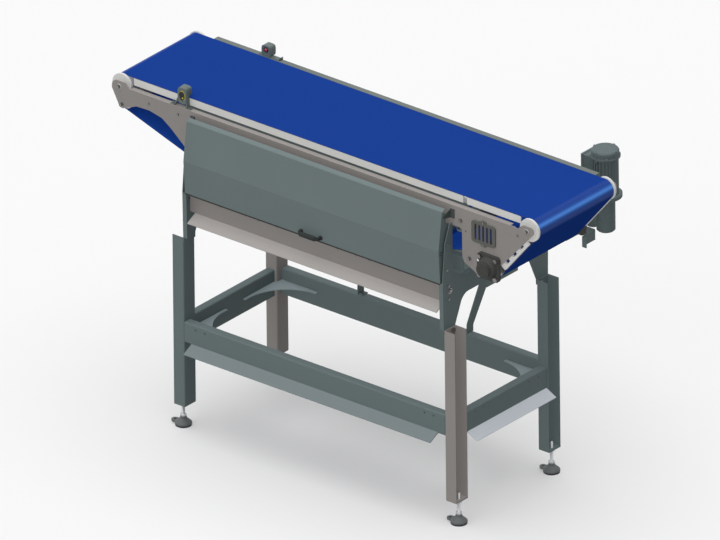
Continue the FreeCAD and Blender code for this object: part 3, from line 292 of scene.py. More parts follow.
steelSet = {"strokes": (16.0, 4.0), "drift": (6.0, 2.0), "mix": (0.6, 0.4), "shades": (0.82, 1.1),
            "rough": 0.26, "span": 0.18, "bump": 0.05, "depth": 0.0003,
            "alongX": (1.0, 60.0, 60.0), "alongY": (60.0, 1.0, 60.0)}


def groundSteel(name, colour, stretch=steelSet["alongX"], values=steelSet):
    # brushed: noise squeezed across the strokes
    maker = startFinish(name)
    strokes = maker.noise(*values["strokes"], maker.stretched(stretch))
    coarse, slow = values["mix"]
    tone = maker.toned(strokes * coarse + maker.noise(*values["drift"]) * slow, colour, values["shades"])
    return maker.grained(tone, strokes, values, Metallic=1.0)


castSet = {"skin": (180.0, 4.0), "pits": (45.0, 2.0), "mix": (0.6, 0.4), "shades": (0.75, 1.22),
           "rough": 0.48, "span": 0.2, "specular": 0.12, "bump": 0.3, "depth": 0.0012}


def sandCasting(name, colour, values=castSet):
    # rough skin and wider pits, in the tone too
    maker = startFinish(name)
    skin = maker.noise(*values["skin"])
    fine, wide = values["mix"]
    tone = maker.toned(skin * fine + maker.noise(*values["pits"]) * wide, colour, values["shades"])
    return maker.grained(tone, skin, values, Specular_IOR_Level=values["specular"])


lensSet = {"ripple": (260.0, 1.0), "shades": (0.7, 1.2), "rough": 0.08, "span": 0.06, "glow": 0.12}


def clearLens(name, colour, values=lensSet):
    # glossy cap over a rippled tone, glowing a little
    maker = startFinish(name)
    ripple = maker.noise(*values["ripple"])
    return maker.finish(Base_Color=maker.toned(ripple, colour, values["shades"]),
                        Roughness=values["rough"] + ripple * values["span"], Coat_Weight=1.0,
                        Emission_Color=colour, Emission_Strength=values["glow"])


def paint(red, green, blue):
    # screen values 0-255 to linear light: ((c + 0.055) / 1.055) ^ 2.4
    return tuple(((c / 255 + 0.055) / 1.055) ** 2.4 for c in (red, green, blue)) + (1.0,)


# tones that more than one finish uses; the skirts of stretchers and rails are painted paler than their webs,
# a painted highlight for the light their up-tilted faces catch
toneSet = {"grey": (0.142, 0.180, 0.182), "longSkirtHighlight": (0.194, 0.230, 0.236),
           "crossSkirtHighlight": (0.58, 0.62, 0.66), "taupe": (0.292, 0.272, 0.260),
           "railSkirtHighlight": (0.395, 0.372, 0.357)}

darkGrey = powderCoat("darkGreyCoat", toneSet["grey"])
coverGrey = powderCoat("coverGreyCoat", (0.154, 0.192, 0.194))
cabinetGrey = powderCoat("cabinetGreyCoat", (0.150, 0.196, 0.188))
taupe = powderCoat("taupeCoat", toneSet["taupe"])
blueBelt = beltCover("blueBelt", (0.0112, 0.0475, 0.266))
# the belt's inner face is a lighter copy of the belt's blue: painted light for the inside of the frame,
# which the lamps reach little
beltInsidePaintedLight = beltCover("beltInsidePaintedLight", (0.018, 0.092, 0.520))
beltEdge = mouldedPlastic("beltEdge", (0.006, 0.020, 0.110), 0.55)
whitePlastic = mouldedPlastic("whitePlastic", (0.70, 0.70, 0.68))
blackCoat = powderCoat("blackCoat", (0.034, 0.038, 0.038))
grilleCoat = powderCoat("grilleCoat", (0.128, 0.130, 0.116))
hingeCoat = powderCoat("hingeCoat", (0.070, 0.084, 0.084))
ledgeCoat = powderCoat("ledgeCoat", paint(112, 119, 116))
# the gussets are painted paler than the frame's grey: painted light on their tops, which sit in shade under
# the flanges and the machine
gussetPaintedLightCoat = powderCoat("gussetPaintedLightCoat", (0.270, 0.325, 0.340))
padPlastic = mouldedPlastic("padPlastic", (0.105, 0.115, 0.115), 0.5)
blackRubber = mouldedPlastic("blackRubber", (0.018, 0.019, 0.019), 0.7)
yellowPlastic = mouldedPlastic("yellowPlastic", paint(206, 192, 52))
sensorGrey = mouldedPlastic("sensorGrey", paint(96, 107, 105), 0.48)
redLens = clearLens("redLens", paint(176, 22, 48))
steel = groundSteel("groundSteel", (0.52, 0.53, 0.54))
turnedSteel = groundSteel("turnedSteel", (0.40, 0.41, 0.42), steelSet["alongY"])
agedZinc = groundSteel("agedZinc", (0.22, 0.22, 0.215))
milledAluminium = groundSteel("milledAluminium", (0.70, 0.71, 0.72))
castBlack = sandCasting("castBlack", (0.060, 0.060, 0.058))
motorGrey = sandCasting("motorGrey", (0.112, 0.142, 0.147))

skirtWidth = 0.0435
# node, axis across its web (0 for x, 1 for y), tone of the web and the skirt's paler tone, which is a
# painted highlight
skirted = (("stretcher_front", 1, "grey", "longSkirtHighlight"), ("stretcher_rear", 1, "grey", "longSkirtHighlight"),
           ("stretcher_left", 0, "grey", "crossSkirtHighlight"), ("stretcher_right", 0, "grey", "crossSkirtHighlight"),
           ("rail_front", 1, "taupe", "railSkirtHighlight"), ("rail_rear", 1, "taupe", "railSkirtHighlight"))


def flaredCoat(node, axis, tone, skirtHighlightTone):
    # the web's face lies one skirt's width inside the node's outermost line
    low, high, _ = boxOf(node)
    face = max(abs(low[axis]), abs(high[axis])) - skirtWidth
    return skirtHighlightCoat(node + "_coat", axis, face, toneSet[tone], toneSet[skirtHighlightTone])


finishes = {row[0]: flaredCoat(*row) for row in skirted}
finishes.update({
    "belt": blueBelt, "slide_strips": whitePlastic, "comb_guards": whitePlastic,
    "end_roller_left": whitePlastic, "end_roller_right": whitePlastic,
    "drive_bearings": castBlack, "gearbox": motorGrey, "motor": motorGrey, "motor_cap": motorGrey,
    "terminal_box": motorGrey, "load_cells": milledAluminium, "photo_eye": yellowPlastic,
    "far_eye": sensorGrey, "eye_lenses": redLens, "drive_roller": turnedSteel, "lift_roller": turnedSteel,
    "return_roller_left": turnedSteel, "return_roller_right": turnedSteel, "drive_snub_roller": turnedSteel,
    "cover_front": coverGrey, "cover_rear": coverGrey, "cabinet_case": cabinetGrey,
    "cabinet_door": cabinetGrey, "cover_handle_front": blackCoat, "cover_handle_rear": blackCoat,
    "corner_gussets": gussetPaintedLightCoat, "hinge_lugs": hingeCoat, "vent_grille": grilleCoat,
    "stand_bolts": agedZinc, "conveyor_bolts": agedZinc,
})
slotFinish = {"dark_grey_paint": darkGrey, "taupe_paint": taupe, "steel": steel, "foot_plastic": padPlastic}
slotOf = {part["node"]: part["material_slot"] for part in frame["record"]["subparts"]}
for name, node in nodes.items():
    finish = finishes.get(name) or slotFinish[slotOf[name]]
    node.data.materials.clear()
    node.data.materials.append(finish)
print("finishes on the frame")


# Mesh helpers: a surface is (points, quads, finish)

meshSet = {"weld": 1e-6, "thin": 1e-7, "sharp": 35.0}


def addPiece(name, parts, body, sharp=meshSet["sharp"]):
    # joins surfaces into one piece, merges doubles and turns normals out
    vertices, faces, stripes, finishList = [], [], [], []
    count = 0
    for points, quads, finish in parts:
        vertices.append(points)
        faces.extend((quads + count).tolist())
        if finish not in finishList:
            finishList.append(finish)
        stripes.extend([finishList.index(finish)] * len(quads))
        count += len(points)
    mesh = bpy.data.meshes.new(name)
    mesh.from_pydata(np.concatenate(vertices).tolist(), [], faces)
    for finish in finishList:
        mesh.materials.append(finish)
    mesh.polygons.foreach_set("material_index", np.array(stripes, dtype=np.int32))
    work = bmesh.new()
    work.from_mesh(mesh)
    bmesh.ops.remove_doubles(work, verts=work.verts, dist=meshSet["weld"])
    bmesh.ops.dissolve_degenerate(work, edges=work.edges, dist=meshSet["thin"])
    bmesh.ops.recalc_face_normals(work, faces=work.faces)
    work.to_mesh(mesh)
    work.free()
    mesh.polygons.foreach_set("use_smooth", np.ones(len(mesh.polygons), dtype=bool))
    mesh.set_sharp_from_angle(angle=math.radians(sharp))
    piece = bpy.data.objects.new(name, mesh)
    bpy.context.scene.collection.objects.link(piece)
    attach(piece, body)
    return piece


def gridQuads(rows, columns, closeRows, closeColumns):
    # each quad joins (i, j), (i, j + 1), (i + 1, j + 1) and (i + 1, j), wrapping where closed
    i, j = np.meshgrid(np.arange(rows if closeRows else rows - 1),
                       np.arange(columns if closeColumns else columns - 1), indexing="ij")
    i, j = i.ravel(), j.ravel()
    up, along = (i + 1) % rows, (j + 1) % columns
    return np.stack((i * columns + j, i * columns + along, up * columns + along, up * columns + j), axis=1)


def aroundCircle(count):
    return np.linspace(0, 2 * math.pi, count, endpoint=False)


def lathe(profile, centre, axis, finish, sides=48):
    # point = centre + axis * z + r * (cos t * u + sin t * v), for each (r, z) of the profile
    # and each t round the circle
    profile = np.array(profile, dtype=float)
    axis = np.array(axis, dtype=float)
    u = np.cross(axis, (0.0, 0.0, 1.0) if abs(axis[2]) < 0.5 else (1.0, 0.0, 0.0))
    u /= np.linalg.norm(u)
    v = np.cross(axis, u)
    t = aroundCircle(sides)
    ring = np.cos(t)[:, None] * u + np.sin(t)[:, None] * v
    points = np.array(centre) + profile[:, 1][:, None, None] * axis + profile[:, 0][:, None, None] * ring
    return points.reshape(-1, 3), gridQuads(len(profile), sides, False, True), finish


def turnedPlate(radius, low, high):
    # profile of a plain round plate between two heights
    return [(0, low), (radius, low), (radius, high), (0, high)]


def softened(corners, radius, steps=4, share=0.45):
    # profile with each inner corner rounded: points of a quadratic curve between its two cut-back ends,
    # which lie at the radius or at a share of the shorter side
    corners = np.array(corners, dtype=float)
    before, here, after = corners[:-2], corners[1:-1], corners[2:]
    backStep, aheadStep = before - here, after - here
    backLength = np.linalg.norm(backStep, axis=1)[:, None]
    aheadLength = np.linalg.norm(aheadStep, axis=1)[:, None]
    cutBack = np.minimum(radius, np.minimum(backLength, aheadLength) * share)
    start, end = here + backStep / backLength * cutBack, here + aheadStep / aheadLength * cutBack
    s = np.linspace(0, 1, steps)[None, :, None]
    arcs = (1 - s) ** 2 * start[:, None] + 2 * s * (1 - s) * here[:, None] + s ** 2 * end[:, None]
    return np.concatenate((corners[:1], arcs.reshape(-1, 2), corners[-1:]))


boltSet = {"washerHigh": 0.0012, "washerSides": 24, "shoulder": 0.86, "crown": 0.84}


def bolt(centre, axis, size, finish):
    # hexagon head with a chamfered crown on a round washer; size is the head's width, its height,
    # and the washer's width as a multiple of the head's
    across, height, washer = size
    seat, radius = boltSet["washerHigh"], across / math.sqrt(3)
    disc = lathe(turnedPlate(across * washer / 2, 0, seat), centre, axis, finish, boltSet["washerSides"])
    head = lathe([(0, seat), (radius, seat), (radius, height * boltSet["shoulder"]),
                  (radius * boltSet["crown"], height), (0, height)], centre, axis, finish, 6)
    return [disc, head]


def extruded(outline, low, high, finish, hole=None):
    # plate between two heights, with walls: outline and hole are (n, 2) arrays with as many points each
    outline = np.array(outline, dtype=float)
    inner = outline * 0 + outline.mean(axis=0) if hole is None else np.array(hole, dtype=float)
    rings = [np.column_stack((ring, np.full(len(ring), z))) for ring, z in
             ((inner, low), (outline, low), (outline, high), (inner, high))]
    return np.concatenate(rings), gridQuads(4, len(outline), hole is not None, True), finish


def upright(outline, front, back, finish, hole=None):
    # plate of an (x, z) outline that stands between two depths y
    flat, quads, finish = extruded(outline, front, back, finish, hole)
    return flat[:, (0, 2, 1)], quads, finish


def roundedRing(centre, half, ease, count):
    # superellipse |x / a|^n + |z / b|^n = 1 round a centre; an ease n of 2 is an ellipse, a large one a box
    t = aroundCircle(count)
    unit = np.column_stack((np.sign(np.cos(t)) * np.abs(np.cos(t)) ** (2 / ease),
                            np.sign(np.sin(t)) * np.abs(np.sin(t)) ** (2 / ease)))
    return np.array(centre) + unit * np.array(half)


def rodAlongX(stations, shrink, centre, section, finish):
    # point = (station, centre + shrink * section), for each station along X and each (y, z) of the section
    ring = np.array(centre) + np.array(shrink, dtype=float)[:, None, None] * section
    along = np.broadcast_to(np.array(stations)[:, None, None], ring.shape[:2] + (1,))
    points = np.concatenate((along, ring), axis=2)
    return points.reshape(-1, 3), gridQuads(len(stations), len(section), False, True), finish


def foldedStrip(path, sheet, low, high, finish):
    # sheet bent along a (y, z) path from x = low to x = high:
    # the path and its offset by the sheet as walls, then two end strips
    path = np.array(path, dtype=float)
    along = np.gradient(path, axis=0)
    normal = np.stack((-along[:, 1], along[:, 0]), axis=1)
    inner = path - normal / np.linalg.norm(normal, axis=1)[:, None] * sheet
    ring = np.concatenate((path, inner[::-1]))
    walls = np.concatenate([np.column_stack((np.full(len(ring), x), ring)) for x in (low, high)])
    parts = [(walls, gridQuads(2, len(ring), False, True), finish)]
    edge = np.concatenate((path, inner))
    for x in (low, high):
        points = np.column_stack((np.full(len(edge), x), edge))
        parts.append((points, gridQuads(2, len(path), False, False), finish))
    return parts


def quarterTurns(middle, radius, height, first=0.0):
    # four places round the upright axis through a middle
    angles = [first + quarter * math.pi / 2 for quarter in range(4)]
    return [(middle[0] + radius * math.cos(angle), middle[1] + radius * math.sin(angle), height)
            for angle in angles]


# Belt: a closed band round the pulleys, its line found from common tangents

beltSet = {"width": 0.400, "thickness": 0.002, "gap": 0.0003, "arcSteps": 28, "edge": 0.0004, "sharp": 50.0}
# node, radius, and 1 or -1 for a pulley inside the loop or outside it
pulleys = (("end_roller_left", 0.036, 1), ("end_roller_right", 0.036, 1), ("drive_roller", 0.046, 1),
           ("drive_snub_roller", 0.020, -1), ("return_roller_right", 0.025, 1),
           ("return_roller_left", 0.025, 1), ("lift_roller", 0.025, 1))


def beltLine(values, outer):
    # arc on each pulley between the tangents that it shares with its neighbours, as one closed (n, 2) line
    centres = np.array([boxOf(node)[2][[0, 2]] for node, radius, side in pulleys])
    radius, side = (np.array([pulley[k] for pulley in pulleys], dtype=float) for k in (1, 2))
    touching = (side < 0) == outer
    radius = side * (radius + values["gap"] + np.where(touching, 0, values["thickness"]))
    step = np.roll(centres, -1, axis=0) - centres
    length = np.linalg.norm(step, axis=1)
    step /= length[:, None]
    lean = (radius - np.roll(radius, -1)) / length
    normal = np.stack((-step[:, 1], step[:, 0]), axis=1)
    leave = step * lean[:, None] + normal * np.sqrt(1 - lean ** 2)[:, None]
    arrive = np.roll(leave, 1, axis=0)
    start = np.arctan2(arrive[:, 1], arrive[:, 0])
    sweep = np.arctan2(leave[:, 1], leave[:, 0]) - start
    sweep = (sweep + math.pi) % (2 * math.pi) - math.pi
    angle = start[:, None] + sweep[:, None] * np.linspace(0, 1, values["arcSteps"])[None]
    circle = np.stack((np.cos(angle), np.sin(angle)), axis=2)
    return (centres[:, None] + radius[:, None, None] * circle).reshape(-1, 2)


def makeBelt(values):
    # grid of the belt's line by its cross-section: step 0 is the outer face, step 4 the inner one
    outer, inner = beltLine(values, True), beltLine(values, False)
    half, soft = values["width"] / 2, values["edge"]
    across = ((1.0, -half + soft), (1.0, half - soft), (0.75, half), (0.25, half),
              (0.0, half - soft), (0.0, -half + soft), (0.25, -half), (0.75, -half))
    columns = []
    for share, y in across:
        line = outer * share + inner * (1 - share)
        columns.append(np.column_stack((line[:, 0], np.full(len(line), y), line[:, 1])))
    points = np.stack(columns, axis=1).reshape(-1, 3)
    quads = gridQuads(len(outer), len(across), True, True)
    onFace = np.arange(len(quads)) % len(across)
    outside, inside = onFace == 0, onFace == 4
    parts = [(points, quads[outside], blueBelt), (points, quads[inside], beltInsidePaintedLight),
             (points, quads[~(outside | inside)], beltEdge)]
    piece = addPiece("conveyorBelt", parts, "machine", values["sharp"])
    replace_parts(piece, "belt")


makeBelt(beltSet)
print("belt made")

# Levelling feet: turned pad, sole, spindle with thread rings, two nuts and the bolt-down ear

footSet = {"radius": 0.030, "height": 0.032, "rim": 0.006, "slope": 0.003, "cone": 0.016,
           "coneDrop": 0.008, "neck": 0.012, "neckDrop": 0.005, "soft": 0.002, "padSides": 56,
           "sole": 0.005, "soleInset": 0.001, "soleSoft": 0.0012, "spindle": 0.006, "root": 0.88,
           "pitch": 0.00175, "threadSides": 20, "top": 0.119, "tip": 0.004, "tipHigh": 0.001,
           "nut": 0.011, "nutHigh": 0.009, "nutEdge": (0.0008, 0.0012), "nutGap": 0.003, "upperNut": 0.0785,
           "earReach": 0.050, "earHalf": 0.013, "earHigh": 0.007, "earLong": 2.6, "earFlare": 0.35,
           "hole": 0.005, "points": 64}


def makeFoot(name, node, values):
    # three turned profiles of (radius, height) and two nuts
    _, high, middle = boxOf(node)
    radius, sole, height = (values[key] for key in ("radius", "sole", "height"))
    x, y = high[0] - radius, middle[1]
    at, axis = (x, y, 0.0), (0, 0, 1)
    rim, slope, neck = sole + values["rim"], values["slope"], values["neck"]
    dome = softened([(0, sole), (radius, sole), (radius, rim), (radius - slope, rim + slope),
                     (values["cone"], height - values["coneDrop"]), (neck, height - values["neckDrop"]),
                     (neck, height), (0, height)], values["soft"])
    rubber = softened(turnedPlate(radius - values["soleInset"], 0, sole), values["soleSoft"])
    # thread: radii swing between crest and root at every half pitch, up to the bevelled tip
    tip, top = values["tip"], values["top"]
    z = np.arange(height, top - values["tipHigh"], values["pitch"] / 2)
    crest = np.where(np.arange(len(z)) % 2 == 0, values["spindle"], values["spindle"] * values["root"])
    thread = np.concatenate(([(0, height)], np.column_stack((crest, z)), [(tip, top), (0, top)]))
    parts = [lathe(dome, at, axis, padPlastic, values["padSides"]), lathe(rubber, at, axis, blackRubber),
             lathe(thread, at, axis, steel, values["threadSides"])]
    wide, tall = values["nut"], values["nutHigh"]
    cut, bevel = values["nutEdge"]
    nut = [(0, 0), (wide - cut, 0), (wide, bevel), (wide, tall - bevel), (wide - cut, tall), (0, tall)]
    for bottom in (height + values["nutGap"], values["upperNut"]):
        parts.append(lathe(nut, (x, y, bottom), axis, steel, 6))
    # ear: half circle at the far end joined to the pad by flaring sides; the hole has as many points
    t = aroundCircle(values["points"])
    centre = x - values["earReach"] + values["earHalf"]
    stretch = np.where(np.cos(t) > 0, values["earLong"], 1.0)
    flare = np.where(np.cos(t) > 0, values["earFlare"], 0.0)
    outline = np.column_stack((centre + values["earHalf"] * np.cos(t) * stretch,
                               y + values["earHalf"] * np.sin(t) * (1 + flare * np.abs(np.cos(t)))))
    hole = roundedRing((centre, y), (values["hole"],) * 2, 2.0, values["points"])
    parts.append(extruded(outline, sole, sole + values["earHigh"], padPlastic, hole))
    piece = addPiece(name, parts, node + "_body")
    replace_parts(piece, node)


for corner in ("front_left", "front_right", "rear_left", "rear_right"):
    makeFoot("levellingFoot_" + corner, "foot_" + corner, footSet)
print("feet made")

# Axle screws on the ends of the idler rollers, seated on the side plates

axleSet = {"screw": (0.011, 0.0070, 1.7), "face": 0.2272}
idlers = (("end_left_spin", "end_roller_left_body"), ("end_right_spin", "end_roller_right_body"),
          ("lift_spin", "lift_roller_body"), ("snub_spin", "snub_body"))


def makeAxleScrews(values):
    for jointName, body in idlers:
        spot = jointAt[jointName]
        parts = []
        for side in (-1, 1):
            parts += bolt((spot.x, side * values["face"], spot.z), (0, side, 0), values["screw"], agedZinc)
        addPiece("axleScrews_" + jointName, parts, body)


makeAxleScrews(axleSet)

# Motor: cooling rings, lug screws and four long bosses with dark screws on the cowl

motorSet = {"rings": 5, "ringStart": 0.006, "ringStep": 0.0075, "ringWide": 0.003, "ringHigh": 0.0012,
            "ringSoft": 0.0006, "ringSides": 64, "sink": 0.0013, "lugInset": 0.0035, "lugHigh": 0.006,
            "lugScrew": (0.006, 0.005, 1.3), "boss": 0.0048, "bossLong": 0.040, "bossInset": 0.0060,
            "bossDrop": 0.0035, "bossTip": 0.6, "bossTaper": 0.006, "bossSoft": 0.001, "bossSides": 20,
            "screw": 0.0028, "screwHigh": 0.0016, "screwSides": 12}


def makeMotorTrim(values):
    low, high, middle = boxOf("motor_cap")
    radius, upward = (high[0] - low[0]) / 2, (0, 0, 1)
    at = (middle[0], middle[1], high[2] - values["sink"])
    parts = []
    for number in range(values["rings"]):
        inner = values["ringStart"] + number * values["ringStep"]
        outer, top = inner + values["ringWide"], values["ringHigh"]
        ring = softened([(inner, 0), (inner, top), (outer, top), (outer, 0), (inner, 0)], values["ringSoft"])
        parts.append(lathe(ring, at, upward, motorGrey, values["ringSides"]))
    for spot in quarterTurns(middle, radius - values["lugInset"], low[2] + values["lugHigh"], math.pi / 4):
        parts += bolt(spot, upward, values["lugScrew"], agedZinc)
    boss, long = values["boss"], values["bossLong"]
    column = softened([(0, 0), (boss * values["bossTip"], 0), (boss, values["bossTaper"]), (boss, long),
                       (0, long)], values["bossSoft"])
    screw = turnedPlate(values["screw"], long, long + values["screwHigh"])
    for spot in quarterTurns(middle, radius - values["bossInset"], high[2] - values["bossDrop"] - long):
        parts.append(lathe(column, spot, upward, motorGrey, values["bossSides"]))
        parts.append(lathe(screw, spot, upward, blackRubber, values["screwSides"]))
    addPiece("motorCowlRings", parts, "machine")


makeMotorTrim(motorSet)

# Terminal box: blanking plug below, four lid screws

terminalSet = {"plug": 0.011, "neck": 0.009, "flange": 0.004, "long": 0.012, "soft": 0.001, "plugSides": 24,
               "shift": 0.004, "sink": 0.0025, "inset": 0.007, "screw": (0.005, 0.003, 1.2)}


def makeTerminalTrim(values):
    low, high, middle = boxOf("terminal_box")
    wide, neck, flange, soft = (values[key] for key in ("plug", "neck", "flange", "soft"))
    profile = softened([(0, 0), (wide, 0), (wide, flange), (neck, flange + soft), (neck, values["long"]),
                        (0, values["long"])], soft)
    spot = (middle[0] + values["shift"], middle[1], low[2] + values["sink"])
    parts = [lathe(profile, spot, (0, 0, -1), blackRubber, values["plugSides"])]
    inset = values["inset"]
    for y in (low[1] + inset, high[1] - inset):
        for z in (low[2] + inset, high[2] - inset):
            parts += bolt((low[0], y, z), (-1, 0, 0), values["screw"], steel)
    addPiece("terminalBoxTrim", parts, "machine")


makeTerminalTrim(terminalSet)
print("drive dressed")

# Cover trim: rubber bead along the lower fold, collars and grip on the pull, screws on the end cheeks

coverSet = {"sides": 28, "bead": 0.0026, "beadInset": 0.001, "beadDrop": 0.0004, "lip": 0.283,
            "collar": 0.0085, "collarEdge": 0.0020, "collarHigh": 0.0032, "collarTop": 0.6,
            "collarSoft": 0.0008, "collarInset": 0.004, "collarGap": 0.0004,
            "grip": (0.068, 0.0135, 0.0175), "gripEase": 3.0, "gripBack": 0.004,
            "gripReach": (-0.5, -0.5, -0.47, 0.47, 0.5, 0.5), "gripShrink": (0.0, 0.86, 1.0, 1.0, 0.86, 0.0),
            "screwRow": 0.278, "screwHeight": 1.025, "screw": (0.009, 0.005, 1.7)}


def makeCoverTrim(values, side, name):
    low, high, _ = boxOf("cover_" + name)
    pullLow, pullHigh, pull = boxOf("cover_handle_" + name)
    innerY, outerY = (pullLow[1], pullHigh[1]) if side > 0 else (pullHigh[1], pullLow[1])
    start, end = low[0] + values["beadInset"], high[0] - values["beadInset"]
    circle = roundedRing((0, 0), (values["bead"],) * 2, 2.0, values["sides"])
    parts = [rodAlongX((start, start, end, end), (0, 1, 1, 0),
                       (side * values["lip"], low[2] - values["beadDrop"]), circle, blackRubber)]
    wide, edge, top = (values[key] for key in ("collar", "collarEdge", "collarHigh"))
    collar = softened([(0, 0), (wide, 0), (wide, edge), (wide * values["collarTop"], top), (0, top)],
                      values["collarSoft"])
    for x in (pullLow[0] + values["collarInset"], pullHigh[0] - values["collarInset"]):
        spot = (x, innerY - side * values["collarGap"], pull[2])
        parts.append(lathe(collar, spot, (0, side, 0), blackCoat, values["sides"]))
    # grip: superellipse round the bar, drawn in at both ends
    long, deep, tall = values["grip"]
    section = roundedRing((0, 0), (deep / 2, tall / 2), values["gripEase"], values["sides"])
    parts.append(rodAlongX(np.array(values["gripReach"]) * long + pull[0], values["gripShrink"],
                           (outerY - side * values["gripBack"], pull[2]), section, blackCoat))
    for face, turn in ((low[0], -1), (high[0], 1)):
        spot = (face, side * values["screwRow"], values["screwHeight"])
        parts += bolt(spot, (turn, 0, 0), values["screw"], hingeCoat)
    addPiece("coverTrim_" + name, parts, name + "_cover_body")


makeCoverTrim(coverSet, -1, "front")
makeCoverTrim(coverSet, 1, "rear")

# Cabinet: door gasket between case and door, screws in the arms

cabinetSet = {"inset": 0.003, "wide": 0.007, "gap": (0.0001, 0.0013), "points": 80, "ease": 10.0,
              "rows": (0.42, 0.62, 0.88), "seat": 0.0032, "screw": (0.010, 0.006, 1.7)}


def makeCabinetTrim(values):
    # gasket: two nearly square superellipse rings, lofted across the door gap
    low, high, middle = boxOf("cabinet_case")
    flat, half = middle[[0, 2]], (high - low)[[0, 2]] / 2 - values["inset"]
    outer = roundedRing(flat, half, values["ease"], values["points"])
    inner = roundedRing(flat, half - values["wide"], values["ease"], values["points"])
    start, end = (high[1] + gap for gap in values["gap"])
    addPiece("doorGasket", [upright(outer, start, end, blackRubber, inner)], "machine")
    screws = []
    for node in ("cabinet_arm_left", "cabinet_arm_right"):
        low, high, middle = boxOf(node)
        for share in values["rows"]:
            spot = (middle[0], high[1] - values["seat"], low[2] + (high[2] - low[2]) * share)
            screws += bolt(spot, (0, -1, 0), values["screw"], steel)
    addPiece("cabinetArmScrews", screws, "machine")


makeCabinetTrim(cabinetSet)

# Frame screws: fixings that show on the bridge plates, legs and side plates.
# Places on the bridge plates and legs are (y, z), on the side plates x and z

screwSet = {"large": (0.010, 0.006, 1.7), "small": (0.007, 0.004, 1.5), "plug": (0.013, 0.006, 1.7),
            "bridge": ((0.253, 0.896), (0.253, 0.846), (0.262, 0.960), (0.256, 1.056)),
            "plugAt": (0.246, 0.875), "legs": ((0.236, 0.700), (0.264, 0.700)), "legFace": 0.579,
            "plateRow": (-0.640, -0.770, 0.860), "plateHeight": 1.165, "plateScrew": (0.609, 1.145)}


def makeFrameScrews(values):
    large, small = values["large"], values["small"]
    parts = []
    for end, plate in ((-1, "end_plate_left"), (1, "end_plate_right")):
        low, high, _ = boxOf(plate)
        face = low[0] if end < 0 else high[0]
        for side in (-1, 1):
            for y, z in values["bridge"]:
                parts += bolt((face, side * y, z), (end, 0, 0), small, agedZinc)
            y, z = values["plugAt"]
            parts += bolt((face, side * y, z), (end, 0, 0), values["plug"], agedZinc)
            for y, z in values["legs"]:
                parts += bolt((end * values["legFace"], side * y, z), (end, 0, 0), large, agedZinc)
    addPiece("bridgeScrews", parts, "machine")
    plates = []
    outer = abs(boxOf("side_plate_front")[0][1])
    for side in (-1, 1):
        for x in values["plateRow"]:
            plates += bolt((x, side * outer, values["plateHeight"]), (0, side, 0), small, agedZinc)
        x, z = values["plateScrew"]
        plates += bolt((x, side * outer, z), (0, side, 0), large, agedZinc)
    addPiece("sidePlateScrews", plates, "machine")


makeFrameScrews(screwSet)

# Bearing trim: face ring and grease nipple on each flange bearing

bearingSet = {"ringInner": 0.014, "ringOuter": 0.0225, "ringHigh": 0.0012, "ringSoft": 0.0005,
              "ringSides": 40, "nippleSoft": 0.0006, "nippleSides": 14,
              "nipple": ((0, 0), (0.0035, 0), (0.0035, 0.005), (0.002, 0.007), (0.0026, 0.009),
                         (0.0012, 0.011), (0, 0.011)),
              "nippleAt": (-0.030, 0.019, 0.020), "nippleLean": (-0.7071, 0, 0.7071)}


def makeBearingTrim(values):
    # the nipple's profile is (radius, height), its place counts from the shaft and the bearing's face
    spot = jointAt["drive_spin"]
    low, high, _ = boxOf("drive_bearings")
    inner, outer, top = (values[key] for key in ("ringInner", "ringOuter", "ringHigh"))
    ring = softened([(inner, 0), (inner, top), (outer, top), (outer, 0)], values["ringSoft"])
    nipple = softened(values["nipple"], values["nippleSoft"])
    along, deep, above = values["nippleAt"]
    parts = []
    for side, face in ((-1, low[1]), (1, high[1])):
        parts.append(lathe(ring, (spot.x, face, spot.z), (0, side, 0), castBlack, values["ringSides"]))
        base = (spot.x + along, face - side * deep, spot.z + above)
        parts.append(lathe(nipple, base, values["nippleLean"], steel, values["nippleSides"]))
    addPiece("bearingTrim", parts, "machine")


makeBearingTrim(bearingSet)

# Rear ledge: folded strip on the rear plate, seen above the belt's far edge, and its screws

ledgeSet = {"start": -0.831, "end": 0.855, "inner": 0.2035, "drop": 0.0018, "gap": 0.0002, "sheet": 0.0025,
            "foot": 1.186, "bend": 0.004, "bendSteps": 6, "screws": (-0.78, -0.30, 0.20, 0.78),
            "screw": (0.008, 0.005, 1.5)}


def makeLedge(values):
    # the strip's line is a right angle of (y, z): in over the plate's flange, down its outer face
    outer = boxOf("side_plate_rear")[1][1] + values["gap"] + values["sheet"]
    top = boxOf("belt")[1][2] - values["drop"]
    path = softened([(values["inner"], top), (outer, top), (outer, values["foot"])], values["bend"],
                    values["bendSteps"])
    parts = foldedStrip(path, values["sheet"], values["start"], values["end"], ledgeCoat)
    for x in values["screws"]:
        parts += bolt((x, outer, (top + values["foot"]) / 2), (0, 1, 0), values["screw"], agedZinc)
    addPiece("rearLedge", parts, "machine")
    return top, outer


ledgeTop, ledgeOuter = makeLedge(ledgeSet)

# Photo-eyes: an arched hood with splayed feet in front, its mate on the ledge, a lens in each

eyeSet = {"near": -0.624, "far": -0.603, "half": 0.0195, "ease": 4.0, "points": 48, "sheet": 0.0025,
          "topGap": 0.0005, "hair": 0.0003, "skirt": 0.014, "deep": -0.192, "clear": 0.004,
          "window": (0.0130, 0.0195), "round": 0.011, "below": 0.016, "recess": 0.0010}
# splayed legs of the near hood: distances out from its middle and heights above its skirt or its foot
legSet = {"sink": 0.0005, "run": 0.014, "high": 0.020, "low": 0.012, "top": 0.003, "foot": 0.004,
          "toe": 0.002, "tab": 0.006}
# yellow oval in the window, a smaller black one set down and to the left, and a yellow dot
faceSet = {"step": 0.0024, "points": 40, "shift": (-0.0017, -0.0022), "inset": (0.0024, 0.0030),
           "high": 0.0008, "dot": 0.0030, "dotHigh": 0.0010, "dotAt": (0.0010, -0.0095), "dotSides": 20}
